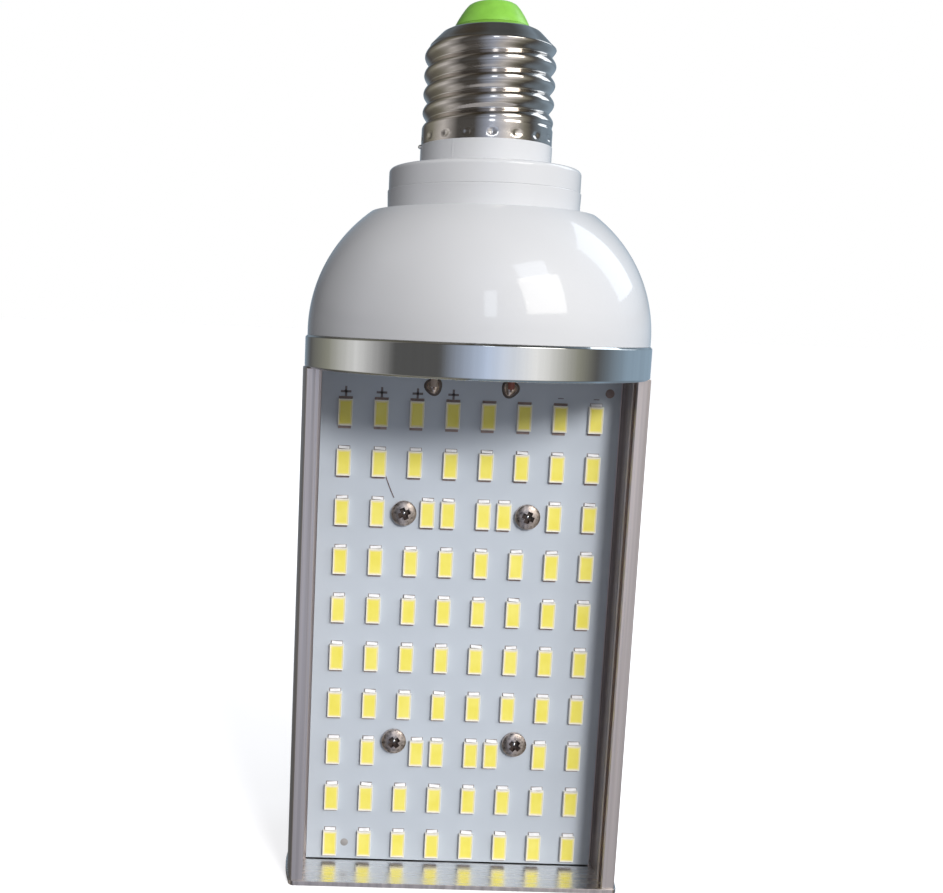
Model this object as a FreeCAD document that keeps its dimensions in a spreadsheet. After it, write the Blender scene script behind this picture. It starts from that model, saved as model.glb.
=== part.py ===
import FreeCAD, Part
import math
import os
import re
import Sketcher

# A one-sided LED lamp that stands on its end plate, with its screw cap up.
# Millimetres. The lamp's axis is Z, the end plate's underside is at Z = 0, and the LED side faces -Y.

Vector = FreeCAD.Vector
document = FreeCAD.newDocument("lamp")

# Driving dimensions, in millimetres
DRIVING = {
    "plate_thickness": "1.0",
    "plate_overhang": "0.4",
    "plate_corner": "1.2",
    "sink_length": "109.2",
    "sink_radius": "35.6",
    "wall_reach": "8.0",
    "wall_front": "2.6",
    "lip_thickness": "1.0",
    "groove_width": "2.3",
    "groove_depth": "1.2",
    "rib_thickness": "1.0",
    "rib_step": "0.3",
    "base_thickness": "4.0",
    "side_thickness": "3.4",
    "fin_thickness": "1.6",
    "port_radius": "3.1",
    "port_bore": "1.45",
    "port_depth": "12.0",
    "port_back": "13.0",
    "deep_port_inset": "9.6",
    "board_depth": "1.9",
    "board_thickness": "1.6",
    "board_side_gap": "0.8",
    "board_end_gap": "0.2",
    "board_hole_radius": "0.55",
    "low_hole_inset": "8.4",
    "high_hole_inset": "2.4",
    "pad_thickness": "0.3",
    "pad_margin": "1.5",
    "led_pitch": "7.55",
    "led_first_row": "4.0",
    "led_last_row": "9.35",
    "led_width": "3.1",
    "led_length": "5.7",
    "led_height": "0.9",
    "led_pair_offset": "4.4",
    "screw_inset": "0.325",
    "screw_low_rise": "2.75",
    "screw_high_rise": "0.2",
    "screw_shank": "1.4",
    "screw_clearance": "0.25",
    "screw_head": "2.65",
    "screw_head_height": "1.8",
    "screw_cross_width": "0.9",
    "screw_cross_span": "3.0",
    "screw_cross_depth": "1.0",
    "board_screw_length": "5.5",
    "end_screw_length": "9.0",
    "sunk_head_rise": "0.1",
    "ring_step": "0.3",
    "ring_height": "6.6",
    "ring_wall": "2.0",
    "ring_floor": "2.2",
    "ring_chamfer": "0.4",
    "lead_spacing": "16.2",
    "lead_radius": "0.7",
    "lead_hole_clearance": "0.6",
    "lead_depth": "0.9",
    "joint_radius": "1.9",
    "joint_height": "0.8",
    "joint_below_ring": "3.4",
    "dome_step": "0.4",
    "dome_height": "25.3",
    "dome_skirt": "1.1",
    "shoulder_step": "3.2",
    "dome_wall": "1.8",
    "spigot_clearance": "0.1",
    "spigot_wall": "1.6",
    "spigot_depth": "3.6",
    "collar_step": "5.9",
    "lower_collar_draft": "0.15",
    "lower_collar_height": "4.1",
    "collar_plate": "2.4",
    "swivel_gap": "0.3",
    "upper_collar_step": "0.2",
    "upper_collar_height": "4.4",
    "upper_collar_edge": "0.9",
    "hub_step": "0.4",
    "hub_clearance": "0.3",
    "hub_wall": "2.0",
    "clip_depth": "0.7",
    "clip_thickness": "1.2",
    "clip_reach": "2.6",
    "stop_height": "1.0",
    "stop_reach": "2.2",
    "stop_angle": "14.0",
    "neck_step": "0.1",
    "neck_height": "4.6",
    "neck_spigot_drop": "8.5",
    "neck_spigot_wall": "1.6",
    "shell_clearance": "0.1",
    "crest_radius": "13.1",
    "thread_depth": "1.0",
    "thread_pitch": "3.629",
    "thread_lead_in": "1.24",
    "thread_run_out": "2.53",
    "thread_foot_width": "3.2",
    "thread_flank_width": "1.9",
    "thread_crest_width": "0.7",
    "thread_ease": "0.05",
    "thread_flank": "0.65",
    "thread_top_drop": "4.3",
    "shell_wall": "0.4",
    "shell_height": "23.0",
    "skirt_height": "3.5",
    "skirt_slope": "0.8",
    "crown_drop": "3.4",
    "crown_waist_step": "1.1",
    "crown_waist_drop": "2.2",
    "crown_edge_step": "2.2",
    "crown_edge_drop": "1.1",
    "insulator_step": "4.5",
    "insulator_waist_step": "1.3",
    "insulator_waist_height": "2.4",
    "insulator_shoulder_step": "2.05",
    "insulator_shoulder_drop": "1.1",
    "insulator_height": "4.6",
    "insulator_top_step": "3.3",
    "insulator_flange": "1.0",
    "rivet_reach": "3.0",
    "contact_radius": "2.4",
    "contact_height": "0.9",
    "rivet_radius": "1.2",
    "rivet_clearance": "0.05",
    "standoff_height": "5.0",
    "standoff_radius": "2.6",
    "standoff_circle": "19.5",
    "standoff_screw_shank": "1.2",
    "driver_radius": "24.0",
    "driver_thickness": "1.6",
    "component_circle": "13.0",
    "core_width": "16.0",
    "core_depth": "5.0",
    "core_height": "13.0",
    "core_leg": "2.4",
    "core_centre": "5.0",
    "winding_gap": "0.2",
    "winding_build": "2.4",
    "bulk_radius": "5.0",
    "bulk_height": "16.0",
    "output_radius": "4.0",
    "output_height": "12.0",
    "choke_radius": "4.5",
    "choke_core": "2.2",
    "choke_height": "9.0",
    "choke_flange": "1.2",
    "bridge_length": "8.0",
    "bridge_width": "6.5",
    "bridge_height": "3.2",
    "fuse_radius": "1.6",
    "fuse_length": "9.0",
    "chip_length": "5.0",
    "chip_width": "4.0",
    "chip_height": "1.5",
    "mains_lead_radius": "0.6",
    "neutral_offset": "3.2",
    "mains_lead_bend": "4.0",
    "mains_lead_end_gap": "0.3",
}

# Whole numbers
ROW_COUNT = 10
SLOT_COUNT = 13
PAIRED_ROWS = {3: "screw_high_rise", 8: "screw_low_rise"}
STANDOFF_ANGLES = (90, 210, 330)

sizes = document.addObject("Spreadsheet::Sheet", "Sizes")
for row, (alias, text) in enumerate(DRIVING.items(), 1):
    sizes.set(f"A{row}", alias)
    sizes.set(f"B{row}", text)
    sizes.setAlias(f"B{row}", alias)
document.recompute()

# Heights along the axis, from the end plate up
SINK_TOP = "(plate_thickness + sink_length)"
RING_TOP = f"({SINK_TOP} + ring_height)"
FLOOR_TOP = f"({SINK_TOP} + ring_floor)"
DOME_TOP = f"({RING_TOP} + dome_height)"
SEAM = f"({DOME_TOP} + lower_collar_height)"
PLATE_BOTTOM = f"({SEAM} - collar_plate)"
COLLAR_BOTTOM = f"({SEAM} + swivel_gap)"
COLLAR_TOP = f"({COLLAR_BOTTOM} + upper_collar_height)"
NECK_TOP = f"({COLLAR_TOP} + neck_height)"
SHELL_TOP = f"({NECK_TOP} + shell_height)"
SPIGOT_TOP = f"({SHELL_TOP} - neck_spigot_drop)"
INSULATOR_TOP = f"({SHELL_TOP} + insulator_height)"
DRIVER_BOTTOM = f"({FLOOR_TOP} + standoff_height)"
DRIVER_TOP = f"({DRIVER_BOTTOM} + driver_thickness)"
JOINT_HEIGHT = f"({SINK_TOP} - joint_below_ring)"

# Sizes of the screws' ways
SUNK_HEAD = "(screw_shank + plate_thickness - sunk_head_rise)"
SUNK_HOLE = "(screw_shank + plate_thickness)"
SCREW_WAY = "(screw_shank + screw_clearance)"

# Sizes across the end plate and the heat sink's section
PLATE_RADIUS = "(sink_radius + plate_overhang)"
PLATE_REACH = "(wall_reach + plate_overhang)"
PLATE_HALF = f"sqrt({PLATE_RADIUS}^2 - {PLATE_REACH}^2)"
PLATE_SIDE = f"sqrt({PLATE_RADIUS}^2 - ({PLATE_REACH} - plate_corner)^2)"
FRONT_HALF = "sqrt(sink_radius^2 - wall_reach^2)"
LIP_HALF = f"({FRONT_HALF} - wall_front)"
RECESS_HALF = f"({LIP_HALF} + rib_step)"
BOARD_BACK = "(board_depth + board_thickness)"
BASE_FRONT = f"({BOARD_BACK} + pad_thickness)"
BASE_BACK = f"({BASE_FRONT} + base_thickness)"
SLOT_SPAN = f"(2 * (sqrt(sink_radius^2 - {BASE_BACK}^2) - side_thickness))"
SLOT_WIDTH = f"(({SLOT_SPAN} - {SLOT_COUNT - 1} * fin_thickness) / {SLOT_COUNT})"
SLOT_PITCH = f"({SLOT_WIDTH} + fin_thickness)"
BOARD_HALF = f"({RECESS_HALF} - board_side_gap)"
BOARD_BOTTOM = "(plate_thickness + board_end_gap)"
BOARD_LENGTH = "(sink_length - 2 * board_end_gap)"
FIRST_ROW = "(plate_thickness + led_first_row)"
ROW_PITCH = f"((sink_length - led_first_row - led_last_row) / {ROW_COUNT - 1})"
PAIR_PLACE = "(0.5 * led_pitch + led_pair_offset)"
SCREW_PLACE = f"(({PAIR_PLACE} + 2.5 * led_pitch) / 2 - screw_inset)"

# Radii of the cap, from the thread outwards to the collars
ROOT = "(crest_radius - thread_depth)"
SKIRT_INNER = "(crest_radius - shell_wall - shell_clearance)"
ROOT_INNER = f"({ROOT} - shell_wall - shell_clearance)"
INSULATOR_SEAT = f"({ROOT} - insulator_step)"
NECK_RADIUS = "(crest_radius + neck_step)"
HUB_RADIUS = f"({NECK_RADIUS} + hub_step)"
HUB_GROOVE = f"({HUB_RADIUS} - clip_depth)"
HUB_BORE = f"({HUB_GROOVE} - hub_wall)"
HUB_HOLE = f"({HUB_RADIUS} + hub_clearance)"
STOP_OUTER = f"({HUB_HOLE} + stop_reach)"
LOWER_COLLAR = f"({HUB_RADIUS} + collar_step)"
UPPER_COLLAR = f"({LOWER_COLLAR} - upper_collar_step)"
SHOULDER = f"({LOWER_COLLAR} + shoulder_step)"
CLIP_TOP = f"({PLATE_BOTTOM} - swivel_gap)"

# Radii of the cup ring and the dome, from the heat sink inwards
RING_RADIUS = "(sink_radius - ring_step)"
RING_INNER = f"({RING_RADIUS} - ring_wall)"
SPIGOT_OUTER = f"({RING_INNER} - spigot_clearance)"
DOME_RADIUS = f"({RING_RADIUS} - dome_step)"
DOME_INSET = f"({DOME_RADIUS} - {SHOULDER})"
DOME_RISE = "(dome_height - dome_skirt)"
DOME_ARC = f"(({DOME_INSET}^2 + {DOME_RISE}^2) / (2 * {DOME_INSET}))"
INNER_ARC = f"({DOME_ARC} - dome_wall)"
ARC_CENTRE = f"({DOME_RADIUS} - {DOME_ARC})"
DOME_INNER_TOP = f"({ARC_CENTRE} + sqrt({INNER_ARC}^2 - ({DOME_RISE} - dome_wall)^2))"

parts = []


def in_sheet(formula):
    """The formula with each size's name pointing at its cell."""
    return re.sub(r"[a-z][a-z_]+", lambda word: cell(word.group()), str(formula))


def cell(word):
    return f"Sizes.{word}" if word in DRIVING else word


def amount(formula):
    """The formula's value now."""
    return float(sizes.evalExpression(in_sheet(formula)))


# Columns of packages to each side of the middle, as many as the board's half width takes
SIDE_COLUMNS = int(amount(f"{BOARD_HALF} / led_pitch"))


def bind(item, **formulas):
    """Ties properties to formulas, with __ in place of the dots of a property's path."""
    for name, formula in formulas.items():
        item.setExpression(name.replace("__", "."), in_sheet(formula))
    return item


def place(item, x="0", y="0", z="0"):
    return bind(item, Placement__Base__x=x, Placement__Base__y=y, Placement__Base__z=z)


def keep(item, label):
    """Marks the item as a finished piece with its file's name."""
    item.Label = label
    parts.append(item)
    return item


def new_body(name):
    return document.addObject("PartDesign::Body", name)


def origin_plane(body, role):
    return next(plane for plane in body.Origin.OriginFeatures if plane.Role == role)


def new_sketch(body, name, role="XY_Plane", height="0"):
    sketch = body.newObject("Sketcher::SketchObject", name)
    sketch.AttachmentSupport = [(origin_plane(body, role), "")]
    sketch.MapMode = "FlatFace"
    bind(sketch, AttachmentOffset__Base__z=height)
    return sketch


def arc_between(start, end, radius, turn):
    """An arc from start to end; turn is 1 where it bends left and -1 where it bends right."""
    chord = end - start
    half = chord.Length / 2
    across = Vector(-chord.y, chord.x, 0).normalize()
    centre = (start + end) * 0.5 + across * (turn * math.sqrt(radius**2 - half**2))
    angles = [math.atan2(p.y - centre.y, p.x - centre.x) for p in (start, end)]
    if turn < 0:
        angles.reverse()
    return Part.ArcOfCircle(Part.Circle(centre, Vector(0, 0, 1), radius), *angles)


def draw_outline(sketch, points):
    """A closed outline. A point is (x, y), or (x, y, radius, turn) where an arc leaves it."""
    corners = [Vector(amount(point[0]), amount(point[1]), 0) for point in points]
    ends = []
    for index, point in enumerate(points):
        start, end = corners[index], corners[(index + 1) % len(points)]
        if len(point) == 2:
            edge = sketch.addGeometry(Part.LineSegment(start, end))
            ends.append((edge, 1, 2))
            continue
        edge = sketch.addGeometry(arc_between(start, end, amount(point[2]), point[3]))
        ends.append((edge, 1, 2) if point[3] > 0 else (edge, 2, 1))
        number = sketch.addConstraint(Sketcher.Constraint("Radius", edge, amount(point[2])))
        sketch.setExpression(f"Constraints[{number}]", in_sheet(point[2]))
    for index, point in enumerate(points):
        edge, first, last = ends[index]
        following = ends[(index + 1) % len(points)]
        sketch.addConstraint(
            Sketcher.Constraint("Coincident", edge, last, following[0], following[1])
        )
        fix_point(sketch, edge, first, point[0], point[1])
    return sketch


def fix_point(sketch, edge, end, x, y):
    """Ties one end of an edge to its two coordinates."""
    for kind, formula, axis in (("DistanceX", x, -2), ("DistanceY", y, -1)):
        if formula == "0":
            sketch.addConstraint(Sketcher.Constraint("PointOnObject", edge, end, axis))
            continue
        number = sketch.addConstraint(Sketcher.Constraint(kind, edge, end, amount(formula)))
        sketch.setExpression(f"Constraints[{number}]", in_sheet(formula))


def draw_circle(sketch, x, y, radius):
    centre = Vector(amount(x), amount(y), 0)
    edge = sketch.addGeometry(Part.Circle(centre, Vector(0, 0, 1), amount(radius)))
    number = sketch.addConstraint(Sketcher.Constraint("Radius", edge, amount(radius)))
    sketch.setExpression(f"Constraints[{number}]", in_sheet(radius))
    fix_point(sketch, edge, 3, x, y)
    return sketch


def turn_solid(body, name, points):
    """Adds a solid turned about the Z axis, from points given as radius and height."""
    sketch = draw_outline(new_sketch(body, f"{name}_profile", "XZ_Plane"), points)
    solid = body.newObject("PartDesign::Revolution", name)
    solid.Profile = sketch
    solid.ReferenceAxis = (sketch, ["V_Axis"])
    solid.Angle = 360
    body.Tip = solid
    return solid


def pad(body, name, sketch, length):
    solid = body.newObject("PartDesign::Pad", name)
    solid.Profile = sketch
    bind(solid, Length=length)
    body.Tip = solid
    return solid


def cut_up(body, name, sketch, length):
    """Cuts upwards from the sketch, and checks that something was removed."""
    document.recompute()
    before = body.Shape.Volume
    solid = body.newObject("PartDesign::Pocket", name)
    solid.Profile = sketch
    solid.Reversed = True
    bind(solid, Length=length)
    body.Tip = solid
    document.recompute()
    if not body.Shape.Volume < before:
        raise RuntimeError(f"{name} removes nothing")
    return solid


def rectangle(left, bottom, right, top):
    return [(left, bottom), (right, bottom), (right, top), (left, top)]


def new_box(name, length, width, height):
    return bind(document.addObject("Part::Box", name), Length=length, Width=width, Height=height)


def new_rod(name, radius, height, x="0", y="0", z="0"):
    rod = bind(document.addObject("Part::Cylinder", name), Radius=radius, Height=height)
    return place(rod, x, y, z)


def subtract(base, tools, name):
    cut = document.addObject("Part::Cut", name)
    cut.Base = base
    cut.Tool = tools[0] if len(tools) == 1 else unite(tools, f"{name}_tools")
    return cut


def unite(items, name):
    union = document.addObject("Part::MultiFuse", name)
    union.Shapes = items
    return union


def copies(master, label, places, rotation=FreeCAD.Rotation()):
    """One node that holds the master at several places, as separate solids."""
    links = []
    for number, (x, y, z) in enumerate(places, 1):
        link = document.addObject("App::Link", f"{label}_{number:02d}")
        link.LinkedObject = master
        link.Placement = FreeCAD.Placement(Vector(), rotation)
        links.append(place(link, x, y, z))
    group = document.addObject("Part::Compound", label)
    group.Links = links
    return keep(group, label)


# Screws


def make_screw(name, shank, length, cross=False):
    """A pan-head screw. Its head stands up from Z = 0 and its shank hangs down."""
    body = new_body(name)
    turn_solid(
        body,
        f"{name}_blank",
        [
            ("0", f"-1 * ({length})"),
            (shank, f"-1 * ({length})"),
            (shank, "0"),
            ("screw_head", "0"),
            ("screw_head", "screw_head_height * 0.6"),
            ("screw_head * 0.7", "screw_head_height"),
            ("0", "screw_head_height"),
        ],
    )
    if cross:
        cut_cross(body, name)
    return body


def cut_cross(body, name):
    """The cross recess in a screw's head, as two crossing slots."""
    for bar, (span, width) in {
        "long": ("screw_cross_span", "screw_cross_width"),
        "short": ("screw_cross_width", "screw_cross_span"),
    }.items():
        sketch = new_sketch(
            body, f"{name}_{bar}_slot", height="screw_head_height - screw_cross_depth"
        )
        draw_outline(
            sketch, rectangle(f"-{span} / 2", f"-{width} / 2", f"{span} / 2", f"{width} / 2")
        )
        cut_up(body, f"{name}_{bar}_cut", sketch, "screw_cross_depth + screw_head_height")


def make_sunk_screw(name):
    """A countersunk screw, head down at Z = 0, whose cone fills the end plate's thickness."""
    body = new_body(name)
    turn_solid(
        body,
        f"{name}_blank",
        [
            ("0", "sunk_head_rise"),
            (SUNK_HEAD, "sunk_head_rise"),
            ("screw_shank", "plate_thickness"),
            ("screw_shank", "end_screw_length"),
            ("0", "end_screw_length"),
        ],
    )
    return body


# Heat sink


def slot_line(number):
    """The X place of a fin, counted in half slot pitches from the middle."""
    return f"({number} * {SLOT_PITCH})"


OUTER_PORT = slot_line((SLOT_COUNT - 4) / 2)
INNER_PORT = slot_line(1.5)
PORTS = [
    (f"{side} * {across}", back)
    for side in (-1, 1)
    for across, back in ((OUTER_PORT, "port_back"), (INNER_PORT, "sink_radius - deep_port_inset"))
]
BOARD_SCREWS = [
    (f"{side} * {SCREW_PLACE}", f"{FIRST_ROW} + {ROW_COUNT - row} * {ROW_PITCH} + {rise}")
    for side in (-1, 1)
    for row, rise in PAIRED_ROWS.items()
]


def make_heat_sink():
    """Half-round extrusion: flat seat for the board, two side walls with cover grooves, fins behind."""
    body = new_body("heat_sink_body")
    outline = new_sketch(body, "sink_outline", height="plate_thickness")
    draw_outline(
        outline,
        [
            (f"-{FRONT_HALF}", "-wall_reach"),
            (FRONT_HALF, "-wall_reach", "sink_radius", 1),
            ("0", "sink_radius", "sink_radius", 1),
        ],
    )
    pad(body, "sink_blank", outline, "sink_length")

    recess = new_sketch(body, "recess_outline", height="plate_thickness")
    lip_back = "(lip_thickness - wall_reach)"
    rib_front = f"({lip_back} + groove_width)"
    rib_back = f"({rib_front} + rib_thickness)"
    groove_half = f"({LIP_HALF} + groove_depth)"
    mouth = "(-1 - wall_reach)"
    right_side = [
        (LIP_HALF, mouth),
        (LIP_HALF, lip_back),
        (groove_half, lip_back),
        (groove_half, rib_front),
        (LIP_HALF, rib_front),
        (LIP_HALF, rib_back),
        (RECESS_HALF, rib_back),
        (RECESS_HALF, BASE_FRONT),
    ]
    left_side = [(f"-{x}", y) for x, y in reversed(right_side)]
    draw_outline(recess, right_side + left_side)
    cut_up(body, "recess_cut", recess, "sink_length")

    slot = new_sketch(body, "slot_outline", height="plate_thickness")
    first = f"(-{SLOT_SPAN} / 2)"
    draw_outline(slot, rectangle(first, BASE_BACK, f"({first} + {SLOT_WIDTH})", "sink_radius + 1"))
    slot_cut = cut_up(body, "slot_cut", slot, "sink_length")
    slots = body.newObject("PartDesign::LinearPattern", "slot_row")
    slots.Originals = [slot_cut]
    slots.Direction = (slot, ["H_Axis"])
    slots.Occurrences = SLOT_COUNT
    bind(slots, Length=f"{SLOT_PITCH} * {SLOT_COUNT - 1}")
    body.Tip = slots
    document.recompute()

    for number, (x, y) in enumerate(PORTS, 1):
        post = new_sketch(body, f"port_{number}_outline", height="plate_thickness")
        pad(body, f"port_{number}", draw_circle(post, x, y, "port_radius"), "sink_length")
    for number, (x, y) in enumerate(PORTS, 1):
        for end, height in (
            ("low", "plate_thickness"),
            ("high", f"{SINK_TOP} - port_depth"),
        ):
            bore = new_sketch(body, f"bore_{number}_{end}_outline", height=height)
            draw_circle(bore, x, y, "port_bore")
            cut_up(body, f"bore_{number}_{end}", bore, "port_depth")
    document.recompute()
    tapped = [screw_way(f"tap_{n}", x, z, "port_bore") for n, (x, z) in enumerate(BOARD_SCREWS, 1)]
    return keep(subtract(body, tapped, "heat_sink_drilled"), "heat_sink")


def screw_way(name, x, z, radius):
    """A rod along Y through the board, the pad and the heat sink's base."""
    rod = new_rod(name, radius, f"{BASE_BACK} + 1", x, "0", z)
    rod.Placement.Rotation = FreeCAD.Rotation(Vector(1, 0, 0), -90)
    return rod


def make_end_plate():
    """Flat plate with the heat sink's outline, a little larger, with countersunk holes."""
    body = new_body("end_plate_body")
    outline = new_sketch(body, "end_plate_outline")
    draw_outline(
        outline,
        [
            (f"-{PLATE_HALF} + plate_corner", f"-{PLATE_REACH}"),
            (f"{PLATE_HALF} - plate_corner", f"-{PLATE_REACH}", "plate_corner", 1),
            (PLATE_SIDE, f"-{PLATE_REACH} + plate_corner", PLATE_RADIUS, 1),
            ("0", PLATE_RADIUS, PLATE_RADIUS, 1),
            (f"-{PLATE_SIDE}", f"-{PLATE_REACH} + plate_corner", "plate_corner", 1),
        ],
    )
    pad(body, "end_plate_blank", outline, "plate_thickness")
    holes = []
    for number, (x, y) in enumerate(PORTS, 1):
        cone = document.addObject("Part::Cone", f"end_hole_{number}")
        bind(cone, Radius1=SUNK_HOLE, Radius2="screw_shank", Height="plate_thickness")
        holes.append(place(cone, x, y))
    return keep(subtract(body, holes, "end_plate_drilled"), "end_plate")


# Light engine


def make_led_board():
    """Aluminium circuit board with its screw holes and two small tooling holes."""
    board = new_box("led_board_blank", f"2 * {BOARD_HALF}", "board_thickness", BOARD_LENGTH)
    place(board, f"-{BOARD_HALF}", "board_depth", BOARD_BOTTOM)
    holes = [screw_way(f"board_way_{n}", x, z, SCREW_WAY) for n, (x, z) in enumerate(BOARD_SCREWS, 1)]
    top_row = f"{FIRST_ROW} + {ROW_COUNT - 1} * {ROW_PITCH}"
    for name, x, z in (
        ("tooling_low", f"low_hole_inset - {BOARD_HALF}", FIRST_ROW),
        ("tooling_high", f"{BOARD_HALF} - high_hole_inset", f"{top_row} + led_length"),
    ):
        holes.append(screw_way(name, x, z, "board_hole_radius"))
    return keep(subtract(board, holes, "led_board_drilled"), "led_board")


def make_thermal_pad():
    pad_half = f"({BOARD_HALF} - pad_margin)"
    sheet = new_box(
        "thermal_pad_blank",
        f"2 * {pad_half}",
        "pad_thickness",
        f"{BOARD_LENGTH} - 2 * pad_margin",
    )
    place(sheet, f"-{pad_half}", BOARD_BACK, f"{BOARD_BOTTOM} + pad_margin")
    holes = [screw_way(f"pad_way_{n}", x, z, SCREW_WAY) for n, (x, z) in enumerate(BOARD_SCREWS, 1)]
    return keep(subtract(sheet, holes, "thermal_pad_punched"), "thermal_pad")


def column_places(row):
    """X of each package. In the rows beside the screws the second ones move to the first."""
    places = []
    for side in (-1, 1):
        for column in range(SIDE_COLUMNS):
            across = f"{column + 0.5} * led_pitch"
            if column == 1 and row in PAIRED_ROWS:
                across = PAIR_PLACE
            places.append(f"{side} * {across}")
    return places


def make_led_rows():
    """White packages that stand out from the board towards -Y, one node a row."""
    package = new_box("led_package", "led_width", "led_height", "led_length")
    front = "board_depth - led_height"
    for row in range(1, ROW_COUNT + 1):
        bottom = f"{FIRST_ROW} + {ROW_COUNT - row} * {ROW_PITCH} - led_length / 2"
        spots = [(f"{across} - led_width / 2", front, bottom) for across in column_places(row)]
        copies(package, f"led_row_{row:02d}", spots)


def make_board_screws():
    master = make_screw("board_screw", "screw_shank", "board_screw_length", cross=True)
    places = [(x, "board_depth", z) for x, z in BOARD_SCREWS]
    return copies(master, "board_screws", places, FreeCAD.Rotation(Vector(1, 0, 0), 90))


# Leads and solder


def make_solder_joints():
    """Two beads of solder on the board, each round the end of a lead."""
    beads = []
    for side, name in ((-1, "left"), (1, "right")):
        x = f"{side} * lead_spacing / 2"
        bead = bind(
            document.addObject("Part::Cone", f"bead_{name}"),
            Radius1="joint_radius",
            Radius2="joint_radius / 2",
            Height="joint_height",
        )
        bead.Placement.Rotation = FreeCAD.Rotation(Vector(1, 0, 0), 90)
        place(bead, x, "board_depth", JOINT_HEIGHT)
        beads.append(subtract(bead, [lead_rod(f"bead_lead_{name}", x)], f"bead_cut_{name}"))
    group = document.addObject("Part::Compound", "solder_joint_pair")
    group.Links = beads
    return keep(group, "solder_joints")


def lead_rod(name, x):
    """A straight lead from the driver board's underside to its solder joint."""
    return new_rod(
        name,
        "lead_radius",
        f"{DRIVER_BOTTOM} - {JOINT_HEIGHT}",
        x,
        "lead_depth",
        JOINT_HEIGHT,
    )


def make_led_leads():
    keep(lead_rod("negative_lead_rod", "-1 * lead_spacing / 2"), "negative_lead")
    keep(lead_rod("positive_lead_rod", "lead_spacing / 2"), "positive_lead")


# Cup ring and dome


def make_cup_ring():
    """Turned aluminium cup: a floor that closes the heat sink's top and a rim that takes the dome."""
    body = new_body("cup_ring_body")
    turn_solid(
        body,
        "cup_ring_blank",
        [
            ("0", SINK_TOP),
            (f"{RING_RADIUS} - ring_chamfer", SINK_TOP),
            (RING_RADIUS, f"{SINK_TOP} + ring_chamfer"),
            (RING_RADIUS, f"{RING_TOP} - ring_chamfer"),
            (f"{RING_RADIUS} - ring_chamfer", RING_TOP),
            (RING_INNER, RING_TOP),
            (RING_INNER, FLOOR_TOP),
            ("0", FLOOR_TOP),
        ],
    )
    through = "3 * ring_floor"
    below = f"{SINK_TOP} - ring_floor"
    holes = [
        new_rod(f"cup_hole_{n}", SCREW_WAY, through, x, y, below) for n, (x, y) in enumerate(PORTS, 1)
    ]
    for side, name in ((-1, "left"), (1, "right")):
        holes.append(
            new_rod(
                f"lead_hole_{name}",
                "lead_radius + lead_hole_clearance",
                through,
                f"{side} * lead_spacing / 2",
                "lead_depth",
                below,
            )
        )
    return keep(subtract(body, holes, "cup_ring_drilled"), "cup_ring")


def make_dome():
    """Moulded dome with the lower collar, the hole for the neck's hub and a stop rib at the front."""
    body = new_body("dome_body")
    spigot_inner = f"({SPIGOT_OUTER} - spigot_wall)"
    collar_foot = f"({LOWER_COLLAR} - lower_collar_draft)"
    arc_start = f"({RING_TOP} + dome_skirt)"
    turns = [f"{share} * asin(({DOME_RISE} - dome_wall) / {INNER_ARC})" for share in (0.75, 0.4, 0)]
    inside = [
        (f"{ARC_CENTRE} + {INNER_ARC} * cos({turn})", f"{arc_start} + {INNER_ARC} * sin({turn})")
        for turn in turns
    ]
    turn_solid(
        body,
        "dome_blank",
        [
            (spigot_inner, f"{RING_TOP} - spigot_depth"),
            (SPIGOT_OUTER, f"{RING_TOP} - spigot_depth"),
            (SPIGOT_OUTER, RING_TOP),
            (DOME_RADIUS, RING_TOP),
            (DOME_RADIUS, arc_start, DOME_ARC, 1),
            (SHOULDER, DOME_TOP),
            (collar_foot, DOME_TOP),
            (LOWER_COLLAR, SEAM),
            (HUB_HOLE, SEAM),
            (HUB_HOLE, PLATE_BOTTOM),
            (f"{collar_foot} - dome_wall", PLATE_BOTTOM),
            (f"{collar_foot} - dome_wall", f"{DOME_TOP} - dome_wall"),
            (DOME_INNER_TOP, f"{DOME_TOP} - dome_wall"),
            *inside,
            (spigot_inner, arc_start),
        ],
    )
    track = new_sketch(body, "stop_track_outline", height=f"{SEAM} - stop_height - swivel_gap")
    draw_stop(track, STOP_OUTER, "(180 - stop_angle / 2)")
    cut_up(body, "stop_track", track, "stop_height + 2 * swivel_gap")
    return keep(body, "dome_housing")


def draw_stop(sketch, outer, half_angle):
    """A ring sector about the axis, with its middle on +Y, over half_angle each way."""
    inner = HUB_GROOVE
    corners = [
        (f"{sign} * {radius} * sin({half_angle})", f"{radius} * cos({half_angle})")
        for radius, sign in ((inner, 1), (outer, 1), (outer, -1), (inner, -1))
    ]
    spans = [math.radians(90 - amount(half_angle)), math.radians(90 + amount(half_angle))]
    axis = Vector(0, 0, 1)
    points = [Vector(amount(x), amount(y), 0) for x, y in corners]
    right = sketch.addGeometry(Part.LineSegment(points[0], points[1]))
    far = sketch.addGeometry(Part.ArcOfCircle(Part.Circle(Vector(), axis, amount(outer)), *spans))
    left = sketch.addGeometry(Part.LineSegment(points[2], points[3]))
    near = sketch.addGeometry(Part.ArcOfCircle(Part.Circle(Vector(), axis, amount(inner)), *spans))
    for first, first_end, second, second_end in (
        (right, 2, far, 1),
        (far, 2, left, 1),
        (left, 2, near, 2),
        (near, 1, right, 1),
    ):
        sketch.addConstraint(
            Sketcher.Constraint("Coincident", first, first_end, second, second_end)
        )
    for edge, radius in ((far, outer), (near, inner)):
        sketch.addConstraint(Sketcher.Constraint("Coincident", edge, 3, -1, 1))
        number = sketch.addConstraint(Sketcher.Constraint("Radius", edge, amount(radius)))
        sketch.setExpression(f"Constraints[{number}]", in_sheet(radius))
    for (edge, end), (x, _) in zip(((right, 1), (right, 2), (left, 1), (left, 2)), corners):
        number = sketch.addConstraint(Sketcher.Constraint("DistanceX", edge, end, amount(x)))
        sketch.setExpression(f"Constraints[{number}]", in_sheet(x))
    return sketch


# Turning neck and cap


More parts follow.
